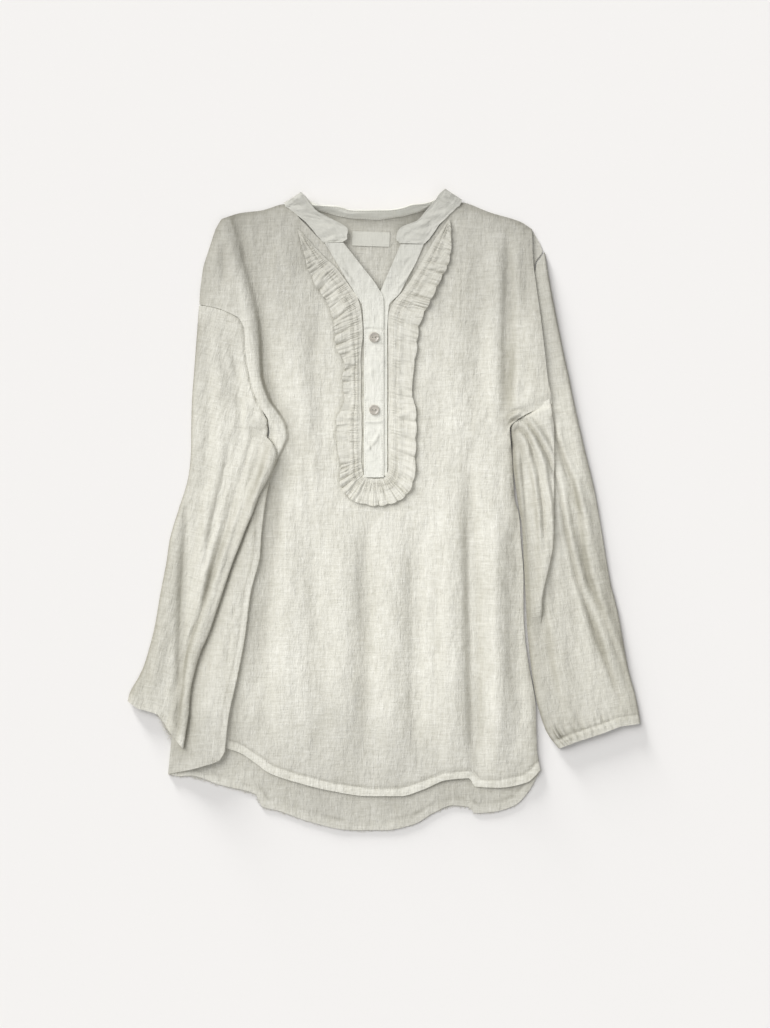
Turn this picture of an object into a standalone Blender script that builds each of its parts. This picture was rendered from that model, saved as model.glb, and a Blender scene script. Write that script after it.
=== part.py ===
"""Smock blouse of linen, laid flat with its front up.

The garment lies in the XY plane: +X to the viewer's right, +Y towards the neck, +Z up,
with the underside of the back at Z = 0. The tables below are in millimetres. Each piece
is a wall of cloth: a grid of points through the middle of the cloth, thickened to both
sides of that grid and closed round its edges.
"""
import math

import bmesh
import bpy
import numpy as np

MM = 0.001

# Driving dimensions, in millimetres
WALL = 1.2                 # cloth with its weave and nap
GAP = 0.3                  # between pieces at seams
LAYER = WALL + GAP         # one layer of cloth on another
BACK_LEVEL = WALL / 2      # middle of the back's cloth
FRONT_LOW = BACK_LEVEL + LAYER
LOFT = 3.0                 # rise of the front's middle over its edges
EDGE_ROUND = 14.0          # width of the rounding along an edge
TUCK = 4.0                 # how far one piece runs under its neighbour at a seam
CENTRE_X = -0.5            # middle of the whole outline, which becomes X = 0, Y = 0
CENTRE_Y = 2.05
HEM_LOFT = 0.45            # share of the loft that is left at the front's hem
HEM_REACH = 60.0           # distance above the hem at which the loft is whole again
SLIT_BOTTOM = 46.0         # lower end of the placket slit
COLLAR_WALL = 1.4
RUFFLE_WALL = 1.0
RUFFLE_WAVES = 42
RUFFLE_STEPS = 5           # points along each wave
RUFFLE_RISE = (1.7, 0.5)   # half height of its waves at the outer edge, and how it varies
RUFFLE_ENDS = 0.03         # share of its length over which its waves start and end
RUFFLE_SWING = 0.03        # share of its width by which its edge goes out and in
STRIP_REST = 0.1           # play under the lower placket strip
LABEL_SIZE = (44.0, 17.0, 1.0)
BUTTON_DIAMETER = 12.0
BUTTON_THICKNESS = 2.4
BUTTON_SIDES = 16
BUTTON_HOLE = 1.6
BUTTON_HOLE_SPACING = 3.2
BUTTON_X = -12.0
BUTTON_Y = (119.0, 204.0)
LABEL_CENTRE = (-16.0, 320.0)
LABEL_TILT = -2.0          # degrees

# The rise of the front over the right sleeve, in two steps. Each row: y where it starts,
# y where it is whole, height
RIGHT_RISE = ((324, 300, 3.6), (250, 180, 3.4))
RIGHT_RISE_X = (14.0, 22.0)    # how far inside the armhole it starts, and its width
RIGHT_RISE_END = (60.0, 90.0)  # y from which the front lies on the body again, and above

# The crossing of the left sleeve and the front
ARMPIT_Y = 104.0           # above this y the front is on top
FRONT_FALL = 18.0          # the front comes down to the body within this distance below it
SLEEVE_CLIMB = (100.0, 16.0)    # y where the sleeve starts to climb on the front, and over
CLIMB_X = (11.0, 9.5)       # how far outside the side it starts to climb, and over
CROSS_GAP = 0.5            # further room between the two where they cross
UNDER_GAP = 0.9            # further room over the sleeve's tucked end
UNDER_END = 60.0           # y from which it does so, and wholly so this far above it
UNDER_FADE = 40.0
UNDER_REACH = 45.0         # distance from the seam within which the sleeve keeps below it

# Colours, linear, and roughness
LINEN = (0.66, 0.64, 0.56)
BRIGHT_LINEN = (0.74, 0.72, 0.66)
TAPE = (0.8, 0.79, 0.76)
SHELL = (0.52, 0.49, 0.43)
CLOTH_ROUGHNESS = 0.85
SHELL_ROUGHNESS = 0.35

# Outlines. Each row: x, y
SHOULDER_LEFT = ((-191, 343), (-170, 350), (-145, 353), (-117, 360))
SHOULDER_RIGHT = ((89, 362), (126, 350), (159, 340), (173, 331))
LEFT_EDGE = ((-191, 343), (-198, 331), (-206, 307), (-213, 284), (-217, 243))
LEFT_SEAM = ((-217, 243), (-207, 241), (-197, 239), (-182, 233), (-171, 227), (-164, 213),
             (-163, 190), (-159, 164), (-152, 137), (-142, 117), (-136, 106))
SLEEVE_ARMPIT = (-138.6, 105.0)
SIDE_LEFT = ((-136, 104), (-135, 94), (-137, 84), (-144, 49), (-163, 8), (-177, -28),
             (-191, -66), (-204, -104), (-218, -151), (-233, -198), (-243, -233), (-250, -268),
             (-254, -308))
RIGHT_EDGE = ((173, 331), (183, 314), (186, 305))
ARMHOLE_RIGHT = ((186, 305), (177, 293), (171, 262), (165, 215), (157, 155), (147, 98))
SIDE_RIGHT = ((147, 98), (150, 56), (152, 18), (158, -6), (160, -35), (163, -76), (163, -115),
              (165, -151), (170, -185), (177, -227), (179, -281), (183, -303))
FOLD_RIGHT = ((173, 331), (174, 299), (178, 264), (183, 227), (187, 192), (191, 156), (196, 126))
SEAM_RIGHT = ((196, 126), (182, 121), (168, 115), (156, 108), (147, 98))
FRONT_NECK = ((-117, 360), (-96, 340), (-66, 315), (42, 312), (72, 345), (89, 362))
BACK_NECK = ((-117, 361), (-96, 358), (-66, 352), (-39, 347), (-10, 346), (19, 349), (48, 355),
             (70, 361), (89, 363))
FLAP_HEM = ((-254, -308), (-229, -303), (-211, -298), (-194, -292), (-187, -281))
FRONT_HEM = ((-200, -277), (-187, -278), (-170, -283), (-153, -294), (-135, -307), (-99, -319),
             (-62, -328), (-19, -334), (19, -334), (46, -326), (73, -315), (99, -313),
             (107, -323), (135, -324), (167, -318), (176, -311), (183, -303))
BACK_HEM = ((-254, -308), (-241, -311), (-229, -310), (-193, -321), (-151, -332), (-143, -347),
            (-126, -351), (-89, -364), (-41, -374), (3, -374), (35, -367), (59, -353), (80, -345),
            (99, -347), (107, -354), (126, -353), (153, -345), (168, -330), (183, -303))
SLOT_LEFT = ((-66, 315), (-34, 263), (-20, 241), (-19, 202), (-19, 36), (-19, -334))
SLOT_RIGHT = ((42, 312), (14, 256), (-1, 239), (-2, 202), (-2, 36), (-2, -334))

# Rows and columns of the two body panels. Rows: share of the way from the top to the hem,
# closer together at the seams' corners. Columns: how many in each group
FRONT_ROWS = (0, .02, .045, .075, .11, .14, .157, .168, .182, .21, .25, .29, .32, .335, .35, .365,
              .382, .405, .43, .47, .52, .57, .62, .67, .72, .77, .82, .87, .92, .96, .985, 1)
FRONT_COLUMNS = {"left": 6, "lap": 10, "middle": 6, "slit": 2, "right": 14}
BACK_ROWS = (0, .05, .1, .145, .2, .27, .345, .37, .40, .5, .58, .66, .74, .82, .9, .96, 1)
BACK_COLUMNS = 23

# The lap at the left: the front is folded over itself and its rolled edge faces right.
# Each row: y, x of the rolled edge, turn of the roll in degrees, width turned under
LAP_LEFT = (
    (343, -182, 0, 0.0),
    (321, -174, 0, 0.0),
    (288, -166, 8, 0.0),
    (250, -156, 35, 0.0),
    (210, -149, 80, 0.0),
    (159, -146, 100, 0.0),
    (133, -138, 100, 0.0),
    (115, -126, 90, 0.0),
    (103, -119, 85, 0.0),
    (89, -116, 85, 0.0),
    (75, -121, 90, 0.0),
    (62, -127, 105, 0.0),
    (29, -136, 180, 3.0),
    (-26, -144, 180, 8.0),
    (-53, -146, 180, 10.0),
    (-92, -156, 180, 12.0),
    (-150, -164, 180, 14.0),
    (-192, -172, 180, 14.0),
    (-244, -183, 180, 14.0),
    (-281, -187, 180, 12.0),
)
LAP_RADIUS = 1.15
LAP_SPREAD = 0.9           # step between the points of a lap that isn't turned

# Folds of the front. Each row: height (a trough is negative), half width, then its points
FRONT_FOLDS = (
    (-1.8, 9, ((-24, -5), (-24, -80), (-24, -160))),
    (-1.8, 10, ((34, -5), (36, -150), (38, -300))),
    (-2.6, 8, ((98, 10), (102, -104), (105, -221), (107, -316))),
    (2.4, 12, ((128, 10), (129, -104), (131, -221), (133, -322))),
    (-1.6, 9, ((-140, -90), (-140, -180), (-142, -285))),
    (1.5, 12, ((-100, -60), (-98, -180), (-96, -310))),
    (1.2, 14, ((72, -40), (74, -160), (76, -318))),
    (-2.6, 9, ((156, 292), (151, 246), (149, 173), (147, 112))),
    (1.6, 7, ((163, 262), (162, 210), (158, 160), (151, 118))),
    (-1.6, 6, ((170, 200), (165, 165), (160, 140), (150, 112))),
    (1.4, 12, ((-96, 300), (-98, 200), (-92, 60))),
    (1.2, 14, ((98, 300), (96, 190), (92, 60))),
)
LEFT_LAYER_FOLDS = (
    (-1.6, 5, ((-189, 320), (-189, 285), (-188, 262))),
    (1.4, 8, ((-200, 225), (-196, 180), (-188, 130))),
    (-1.6, 7, ((-176, 195), (-174, 150), (-168, 110))),
    (-1.8, 6, ((-234, 17), (-233, -17), (-236, -80), (-238, -150), (-240, -205), (-246, -262))),
    (1.6, 7, ((-206, 60), (-212, -10), (-216, -80), (-222, -150))),
    (-1.5, 6, ((-216, -118), (-226, -150), (-232, -185), (-238, -220))),
    (1.5, 8, ((-262, -120), (-272, -170), (-284, -212))),
)
RIGHT_SLEEVE_FOLDS = (
    (-1.8, 6, ((203, 70), (215, 40), (223, 5), (231, -35), (240, -85), (252, -150), (276, -215))),
    (1.8, 7, ((214, 95), (226, 52), (236, 5), (246, -50), (262, -130), (284, -205))),
    (-1.5, 6, ((226, 62), (240, 10), (250, -40), (262, -90))),
    (-1.4, 7, ((205, -10), (214, -60), (222, -110), (226, -160))),
    (1.4, 9, ((196, -110), (204, -160), (212, -215))),
)

# Sleeves. Each row is a section: outer x, outer y, inner x, inner y
SLEEVE_LEFT = (
    (-219, 218, -137.2, 96),
    (-221, 192, -137.9, 87),
    (-223, 165, -131, 79),
    (-225, 140, -126.5, 68),
    (-226, 118, -129, 56),
    (-226.5, 92, -137, 38),
    (-227, 65, -147, 19),
    (-231, 35, -154, 0),
    (-241, 3, -163, -21),
    (-251, -30, -171, -42),
    (-256, -62, -179, -62),
    (-263, -98, -193, -104),
    (-270, -138, -206, -142),
    (-280, -175, -216, -165),
    (-287, -192, -223, -188),
    (-295, -206, -228, -214),
    (-299, -214, -230, -240),
)
LEFT_OUTLINE = tuple(row[:2] for row in SLEEVE_LEFT)
CUFF_LEFT = ((-301, -223), (-290, -231), (-279, -234), (-266, -238), (-258, -249), (-250, -261),
             (-236, -278))
SLEEVE_RIGHT = (
    (193, 272, 149.2, 90, 0.75, 0, 0),
    (200, 235, 150.1, 78, 0.72, 0, 0),
    (209, 190, 151.2, 60, 0.68, 100, 1),
    (216, 158, 151.9, 48, 0.67, 150, 3),
    (222, 128, 153.4, 36, 0.66, 180, 6),
    (234, 75, 157.5, 8, 0.54, 180, 9),
    (246, 25, 162, -20, 0.43, 180, 10),
    (254, -20, 164, -60, 0.36, 180, 10),
    (264, -80, 166, -98, 0.19, 165, 4),
    (270, -104, 167, -118, 0.15, 110, 2),
    (275, -126, 168, -138, 0.11, 40, 0),
    (285, -182, 173, -185, 0.10, 0, 0),
    (293, -212, 179, -222, 0.10, 0, 0),
    (298, -236, 190, -257, 0.10, 0, 0),
)
CUFF_RIGHT = ((300, -249), (277, -252), (254, -261), (226, -270), (205, -278))
SLEEVE_EDGE = 3.0          # height of a sleeve's rolled edge, middle to middle
SLEEVE_LOFT = 1.8          # further rise of its middle
SLEEVE_ROLL = 5.0          # width of the rolled edge
SLEEVE_LEAST = 2.64        # least height of a sleeve, middle to middle
ROLL_STEPS = SLEEVE_ROLL * (1.0 - np.cos(np.radians((0.0, 30.0, 60.0, 90.0))))
SIDE_SHARE = 0.6           # share of the left layer's width over which it rises from its side
TUCK_FADE = 0.16           # share of the seam over which a sleeve's tuck starts and ends
TUCK_END = 0.96            # share of the seam at which it has ended
RIM_FADE = 0.12
SEAM_OUT = 1.2             # how far the sleeve's rim starts outside its seam
LOWER_RIM_ASIDE = np.array((-1.9, -1.3))   # from the straight line between its two ends
RIGHT_RIM_ASIDE = np.array((1.9, -0.9))    # from the back's armhole
RIM_LAP = ((0.75, 0.0, 0.0),)  # lap share, turn and width under at the rim
CUFF_LAP = ((0.10, 0.0, 0.0),)

# Stand collar. Each row: x, y, z of the neck seam, then x, y, z of the free edge
COLLAR = (
    (-71, 315.2, 7.2, -50, 315.6, 7.3),
    (-74, 318, 7.2, -43.8, 320.5, 7.5),
    (-80, 325, 7.2, -43.6, 331, 7.9),
    (-92, 338, 7.2, -59, 342, 8.8),
    (-104, 349, 7.0, -78, 351, 10.0),
    (-112, 355, 6.6, -88, 362, 11.6),
    (-116.5, 358.5, 6.3, -95, 371, 13.3),
    (-118, 361, 4.9, -97.5, 373.5, 11.8),
    (-114.5, 362.5, 3.4, -94.5, 370.5, 9.5),
    (-107, 361.5, 2.6, -84, 361.5, 9.0),
    (-96, 357.5, 2.1, -74, 358.5, 11.5),
    (-66, 350.5, 2.1, -57, 357, 14.0),
    (-39, 344.5, 2.1, -35, 352.5, 14.5),
    (-10, 343.5, 2.1, -9, 352, 14.5),
    (19, 346.5, 2.1, 15, 354, 14.5),
    (42, 352.5, 2.1, 33, 359, 14.0),
    (70, 360, 2.1, 48, 361, 11.5),
    (80, 364.5, 2.6, 58, 364.5, 9.0),
    (87, 366, 3.4, 67, 374, 9.5),
    (91, 364.5, 4.9, 70.5, 377.5, 11.8),
    (89, 361, 6.3, 68, 375, 13.3),
    (85, 356.5, 6.6, 61, 367, 11.6),
    (77, 349, 7.0, 52.5, 357, 10.0),
    (65, 336, 7.2, 38, 341.5, 8.8),
    (54, 322, 7.2, 18.5, 332, 7.9),
    (49, 316, 7.2, 13.6, 321, 7.5),
    (46, 313.6, 7.2, 18, 314.5, 7.3),
)

COLLAR_ROWS = 79

# Ruffle. Each row: x, y at the gathered side, x, y at the outer edge
RUFFLE = (
    (-99, 329, -102, 331),
    (-88, 315, -96, 308),
    (-73, 297, -89, 284),
    (-60, 284, -79, 262),
    (-45, 264, -68, 247),
    (-34, 246, -61, 228),
    (-30, 226, -58, 212),
    (-29, 205, -57, 194),
    (-30, 180, -46, 172),
    (-30, 160, -49, 156),
    (-30, 132, -47, 131),
    (-30, 110, -56, 106),
    (-30, 85, -56, 81),
    (-30, 62, -51, 54),
    (-29, 48, -52, 34),
    (-26, 40, -42, 17),
    (-20, 36, -25, 9),
    (-11, 35, -9, 7),
    (-1, 36, 12, 11),
    (5, 41, 27, 22),
    (8, 53, 35, 42),
    (8, 76, 36, 70),
    (8, 110, 37, 108),
    (8, 150, 32, 147),
    (8, 190, 37, 187),
    (8, 224, 40, 216),
    (14, 243, 48, 236),
    (27, 260, 56, 252),
    (39, 279, 66, 273),
    (50, 298, 75, 292),
    (61, 318, 78, 311),
    (70, 333, 78, 328),
    (75, 342, 77, 340),
)

# Placket strips. Each row: y, left x, right x
PLACKET_OVER = ((314, -70, -48), (288, -54, -27), (263, -39, -8), (250, -31, -1.5),
                (241, -26, -1), (202, -24, -1), (120, -24, -1), (40, -24, -1))
PLACKET_UNDER = ((312.4, 19, 46), (290, 9, 36), (272, 1, 26), (256, -6, 18), (241, -19, 5),
                 (202, -20, 3), (120, -20, 3), (42, -20, 3))


def ease(t):
    """Smooth step from 0 to 1."""
    t = np.clip(t, 0.0, 1.0)
    return t * t * (3.0 - 2.0 * t)


def rounding(distance, width):
    """Quarter-ellipse rise from 0 at an edge to 1 at the given width inside it."""
    t = np.clip(distance / width, 0.0, 1.0)
    return np.sqrt(1.0 - (1.0 - t) ** 2)


def steady(at, xs, ys):
    """Monotone cubic interpolation, so an outline never overshoots its points."""
    xs = np.asarray(xs, float)
    ys = np.asarray(ys, float)
    if xs[0] > xs[-1]:
        xs, ys = xs[::-1], ys[::-1]
    run = np.diff(xs)
    slope = np.diff(ys) / run
    tangent = np.zeros(len(xs))
    tangent[0], tangent[-1] = slope[0], slope[-1]
    same = slope[:-1] * slope[1:] > 0
    mean = 2.0 / (1.0 / np.where(same, slope[:-1], 1.0) + 1.0 / np.where(same, slope[1:], 1.0))
    tangent[1:-1] = np.where(same, mean, 0.0)
    at = np.clip(at, xs[0], xs[-1])
    i = np.clip(np.searchsorted(xs, at, side="right") - 1, 0, len(xs) - 2)
    t = (at - xs[i]) / run[i]
    a = (1 + 2 * t) * (1 - t) ** 2 * ys[i] + t * (1 - t) ** 2 * run[i] * tangent[i]
    b = t * t * (3 - 2 * t) * ys[i + 1] - t * t * (1 - t) * run[i] * tangent[i + 1]
    return a + b


def x_along(y, line):
    """The x of an outline that runs down the garment, at height y."""
    line = np.asarray(line, float)
    return steady(y, line[:, 1], line[:, 0])


def x_straight(y, line):
    """The x of an outline that runs down the garment in straight stretches."""
    line = np.asarray(line, float)[::-1]
    return np.interp(y, line[:, 1], line[:, 0])


def y_along(x, line):
    """The y of an outline that runs across the garment, at x."""
    line = np.asarray(line, float)
    return steady(x, line[:, 0], line[:, 1])


def distance_to(x, y, line):
    """Distance of each point from a broken line, and how far along it the nearest place is."""
    line = np.asarray(line, float)
    best = np.full(np.shape(x), 1e9)
    along = np.zeros(np.shape(x))
    lengths = np.hypot(*np.diff(line, axis=0).T)
    total = lengths.sum()
    start = 0.0
    for (ax, ay), (bx, by), length in zip(line[:-1], line[1:], lengths):
        t = ((x - ax) * (bx - ax) + (y - ay) * (by - ay)) / length ** 2
        t = np.clip(t, 0.0, 1.0)
        d = np.hypot(x - ax - t * (bx - ax), y - ay - t * (by - ay))
        nearer = d < best
        best = np.where(nearer, d, best)
        along = np.where(nearer, (start + t * length) / total, along)
        start += length
    return best, along


def folds(x, y, table):
    """Sum of the soft troughs and ridges, each fading out towards both its ends."""
    z = np.zeros(np.shape(x))
    for height, half_width, line in table:
        d, along = distance_to(x, y, line)
        fade = ease(along / 0.25) * ease((1.0 - along) / 0.25)
        z += height * fade * np.exp(-((d / half_width) ** 2))
    return z


def along_line(line, fractions):
    """Points at the given fractions of a broken line's length."""
    line = np.asarray(line, float)
    s = np.concatenate([[0.0], np.cumsum(np.hypot(*np.diff(line, axis=0).T))])
    at = np.asarray(fractions) * s[-1]
    return np.stack([np.interp(at, s, line[:, k]) for k in range(line.shape[1])], axis=-1)


def link_mesh(name, bm, material, sharp):
    """Put a finished mesh into the scene, smooth but for edges sharper than given in degrees."""
    mesh = bpy.data.meshes.new(name)
    bm.to_mesh(mesh)
    bm.free()
    mesh.shade_smooth()
    mesh.set_sharp_from_angle(angle=math.radians(sharp))
    mesh.materials.append(material)
    piece = bpy.data.objects.new(name, mesh)
    bpy.context.scene.collection.objects.link(piece)
    return piece


def wall(name, grid, thickness, material, keep=None, closed=False):
    """Make a closed wall of cloth from the points through its middle.

    The grid has a row for each section and a column for each point of a section. Faces
    where keep is False are left open, and closed joins the last column to the first.
    """
    across = np.gradient(grid, axis=1)
    if closed:
        ring = np.concatenate([grid[:, -1:], grid, grid[:, :1]], axis=1)
        across = np.gradient(ring, axis=1)[:, 1:-1]
    normal = np.cross(np.gradient(grid, axis=0), across)
    normal /= np.linalg.norm(normal, axis=-1, keepdims=True)
    rows, columns = grid.shape[:2]
    faces_across = columns if closed else columns - 1
    if keep is None:
        keep = np.ones((rows - 1, faces_across), bool)
    middle = grid - (CENTRE_X, CENTRE_Y, 0.0)
    sides = [(middle + half * thickness * normal) * MM for half in (0.5, -0.5)]
    bm = bmesh.new()
    verts = [{}, {}]

    def vert(side, i, j):
        key = (i, j % columns)
        if key not in verts[side]:
            verts[side][key] = bm.verts.new(sides[side][key])
        return verts[side][key]

    def kept(i, j):
        if closed:
            j %= faces_across
        return 0 <= i < rows - 1 and 0 <= j < faces_across and keep[i, j]

    for i in range(rows - 1):
        for j in range(faces_across):
            if not keep[i, j]:
                continue
            corners = ((i, j), (i, j + 1), (i + 1, j + 1), (i + 1, j))
            bm.faces.new([vert(0, *c) for c in corners])
            bm.faces.new([vert(1, *c) for c in reversed(corners)])
            borders = (((i - 1, j), corners[0], corners[1]), ((i, j + 1), corners[1], corners[2]),
                       ((i + 1, j), corners[2], corners[3]), ((i, j - 1), corners[3], corners[0]))
            for beside, a, b in borders:
                if not kept(*beside):
                    bm.faces.new([vert(0, *b), vert(0, *a), vert(1, *a), vert(1, *b)])
    bmesh.ops.triangulate(bm, faces=bm.faces[:])
    bmesh.ops.recalc_face_normals(bm, faces=bm.faces[:])
    return link_mesh(name, bm, material, 50)


def lap_offsets(turn, under):
    """Offsets across a rolled lap: a part of a roll, the part turned under, a roll back.

    Returns the steps to the right and down from where the roll starts, one column for each
    point, and the whole drop from the upper layer to the lower one.
    """
    turn = np.radians(turn)[..., None]
    under = np.asarray(under, float)[..., None] + 1e-9
    first = turn * np.linspace(0.0, 1.0, FRONT_COLUMNS["lap"] // 2)
    right = LAP_RADIUS * np.sin(first)
    down = LAP_RADIUS * (1.0 - np.cos(first))
    right_end = right[..., -1:] + under * np.cos(turn)
    down_end = down[..., -1:] + under * np.sin(turn)
    second = first[..., ::-1]
    right = np.concatenate(
        [right, right_end + LAP_RADIUS * (np.sin(turn) - np.sin(second))], axis=-1)
    down = np.concatenate(
        [down, down_end + LAP_RADIUS * (np.cos(second) - np.cos(turn))], axis=-1)
    spread = LAP_SPREAD * (1.0 - turn / math.pi) + 0.05
    return right + spread * np.arange(right.shape[-1]), down, down[..., -1]


def front_level(x, y):
    """Middle of the front's cloth over the body, away from the laps."""
    near = np.minimum(distance_to(x, y, SHOULDER_LEFT)[0], distance_to(x, y, SHOULDER_RIGHT)[0])
    near = np.minimum(near, distance_to(x, y, SIDE_RIGHT)[0])
    hem = ease((y - y_along(x, FRONT_HEM)) / HEM_REACH)
    rise = rounding(near, EDGE_ROUND) * (HEM_LOFT + (1.0 - HEM_LOFT) * hem)
    z = LOFT * rise + folds(x, y, FRONT_FOLDS) * rise
    return FRONT_LOW + np.maximum(z, 0.0) + right_rise(x, y)


def right_rise(x, y):
    """How much further the front rises where it lies over the right sleeve."""
    top, bottom = RIGHT_EDGE[-1], SIDE_RIGHT[0]
    armhole = np.interp(y, (bottom[1], top[1]), (bottom[0], top[0]))
    inside, width = RIGHT_RISE_X
    end, whole = RIGHT_RISE_END
    height = sum(high * ease((start - y) / (start - full)) for start, full, high in RIGHT_RISE)
    return height * ease((x - armhole + inside) / width) * ease((y - end) / (whole - end))


def lap_at(y):
    """The left lap at height y: where its roll starts, its rolled edge, turn and width under."""
    table = np.asarray(LAP_LEFT, float)
    edge, turn, under = [steady(y, table[:, 0], table[:, k]) for k in (1, 2, 3)]
    start = edge - LAP_RADIUS * np.sin(np.minimum(np.radians(turn), math.pi / 2))
    return start, edge, turn, under


def left_level(x, y):
    """Middle of the upper layer left of the lap, which the left sleeve continues."""
    outer = np.minimum(distance_to(x, y, LEFT_EDGE + LEFT_OUTLINE)[0],
                       distance_to(x, y, SHOULDER_LEFT)[0])
    _, edge, turn, under = lap_at(y)
    side = x_along(y, SIDE_LEFT)
    drop = lap_offsets(turn, under)[2]
    inside = ease((x - side) / (SIDE_SHARE * np.maximum(edge - side, TUCK)))
    below = ease((ARMPIT_Y - y) / FRONT_FALL)
    rise = rounding(outer, EDGE_ROUND) * (1.0 - below) + inside * below
    z = (LOFT + drop) * rise + folds(x, y, LEFT_LAYER_FOLDS) * rise
    return FRONT_LOW + np.maximum(z, 0.0)


def front_x(y):
    """The x of every column of the front, each at its own y."""
    groups = np.split(y, np.cumsum(tuple(FRONT_COLUMNS.values()))[:-1], axis=1)
    count = FRONT_COLUMNS["left"]
    side = x_along(groups[0], LEFT_EDGE + LEFT_SEAM[1:] + SIDE_LEFT)
    left = side + (lap_at(groups[0])[0] - side) * np.arange(count) / count
    start, _, turn, under = lap_at(groups[1])
    pick = np.arange(FRONT_COLUMNS["lap"])
    lap = start + lap_offsets(turn, under)[0][:, pick, pick]
    start, _, turn, under = lap_at(groups[2])
    lap_end = start + lap_offsets(turn, under)[0][..., -1]
    count = FRONT_COLUMNS["middle"]
    middle = lap_end + (x_along(groups[2], SLOT_LEFT) - lap_end) * np.arange(1, count + 1) / (
        count + 1)
    slit_left, slit_right = x_along(groups[3], SLOT_LEFT), x_along(groups[3], SLOT_RIGHT)
    count = FRONT_COLUMNS["slit"]
    slit = slit_left + (slit_right - slit_left) * np.arange(count) / count
    start = x_along(groups[4], SLOT_RIGHT)
    end = x_along(groups[4], FOLD_RIGHT + SEAM_RIGHT[1:] + SIDE_RIGHT[1:])
    right = start + (end - start) * np.linspace(0.0, 1.0, FRONT_COLUMNS["right"])
    return np.concatenate([left, lap, middle, slit, right], axis=1)


def front_grid():
    """Grid of the front, its columns in groups: left layer, lap, middle, slit, right."""
    t = np.array(FRONT_ROWS)[:, None]
    total = sum(FRONT_COLUMNS.values())
    left_count, lap_count = FRONT_COLUMNS["left"], FRONT_COLUMNS["lap"]
    lap_last = left_count + lap_count - 1
    flap = np.concatenate([np.ones(left_count), np.linspace(1.0, 0.0, lap_count),
                           np.zeros(total - left_count - lap_count)])
    top_line = SHOULDER_LEFT + FRONT_NECK[1:-1] + SHOULDER_RIGHT
    # each x hangs on its y and the other way round, so both are found together, in small steps
    y = np.zeros((len(t), total))
    for _ in range(60):
        x = front_x(y)
        hem = y_along(x, FLAP_HEM) * flap + y_along(x, FRONT_HEM) * (1.0 - flap)
        y = (y + y_along(x, top_line) * (1.0 - t) + hem * t) / 2
    z = front_level(x, y)
    # the lap stands on the lower layer, and the left layer meets the lap's upper side
    _, _, turn, under = lap_at(y[:, left_count:lap_last + 1])
    _, down, drop = lap_offsets(turn, under)
    pick = np.arange(lap_count)
    z[:, left_count:lap_last + 1] = z[:, lap_last:lap_last + 1] + drop - down[:, pick, pick]
    level = left_level(x[:, :left_count + 1], y[:, :left_count + 1])
    step = z[:, left_count:left_count + 1] - level[:, -1:]
    z[:, :left_count] = level[:, :-1] + step * (np.arange(left_count) / left_count) ** 2
    keep = np.ones((len(t) - 1, total - 1), bool)
    slit = lap_last + 1 + FRONT_COLUMNS["middle"]
    above = (y[:-1, slit] + y[1:, slit]) / 2 > SLIT_BOTTOM
    keep[above, slit:slit + FRONT_COLUMNS["slit"]] = False
    return np.stack([x, y, z], axis=-1), keep


def build_front(material):
    """Front panel: shoulders, placket slit, lap at the left, fold over the right sleeve."""
    grid, keep = front_grid()
    return wall("front", grid, WALL, material, keep)


def build_back(material):
    """Back panel, flat on the surface."""
    t = np.array(BACK_ROWS)[:, None]
    u = np.linspace(0.0, 1.0, BACK_COLUMNS)[None, :]
    left_side = LEFT_EDGE + SIDE_LEFT
    right_side = RIGHT_EDGE[:-1] + ARMHOLE_RIGHT + SIDE_RIGHT[1:]
    top_line = SHOULDER_LEFT[:-1] + BACK_NECK + SHOULDER_RIGHT[1:]
    y = np.zeros((len(t), u.shape[1]))
    for _ in range(40):
        left, right = x_straight(y, left_side), x_straight(y, right_side)
        x = left + (right - left) * u
        y = y_along(x, top_line) * (1.0 - t) + y_along(x, BACK_HEM) * t
    return wall("back", np.stack([x, y, np.full_like(x, BACK_LEVEL)], axis=-1), WALL, material)


def roll_fractions(width, middle):
    """Fractions across a sleeve's section: close together on its rolled edges."""
    inner = np.linspace(SLEEVE_ROLL, width - SLEEVE_ROLL, middle + 2)[1:-1]
    return np.concatenate([ROLL_STEPS, inner, (width - ROLL_STEPS)[::-1]]) / width


def loop_height(s, width, low, high):
    """Upper and lower height of a flattened tube, both meeting halfway at its rolled edges."""
    full = rounding(np.minimum(s, width - s), SLEEVE_ROLL)
    middle = (low + high) / 2
    return middle + full * (high - low) / 2, middle - full * (high - low) / 2


def left_ground(x, y):
    """Level under the left sleeve: the surface, or over the front's side where it crosses it."""
    outside, width = CLIMB_X
    side = x_along(y, SIDE_LEFT)
    start, fall = SLEEVE_CLIMB
    over = ease((x - side + outside) / width) * ease((start - y) / fall)
    body = left_level(np.maximum(x + SLEEVE_EDGE, side), y) + LAYER + CROSS_GAP
    return BACK_LEVEL + over * (body - BACK_LEVEL)


def left_heights(points, fractions):
    """Upper and lower height of the left sleeve at the points of its sections."""
    x, y = points[..., 0], points[..., 1]
    width = np.linalg.norm(points[:, -1] - points[:, 0], axis=-1)[:, None]
    s = fractions * width
    low = left_ground(x, y)
    rise = rounding(np.minimum(s, width - s), EDGE_ROUND)
    high = low + SLEEVE_EDGE + rise * (SLEEVE_LOFT + folds(x, y, LEFT_LAYER_FOLDS))
    near = distance_to(x, y, LEFT_SEAM)[0]
    blend = ease(1.0 - near / UNDER_REACH) * ease((y - UNDER_END) / UNDER_FADE)
    high = high + (left_level(x, y) - LAYER - UNDER_GAP - high) * blend
    high = np.maximum(high, low + SLEEVE_LEAST)
    return loop_height(s, width, low, high)


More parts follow.
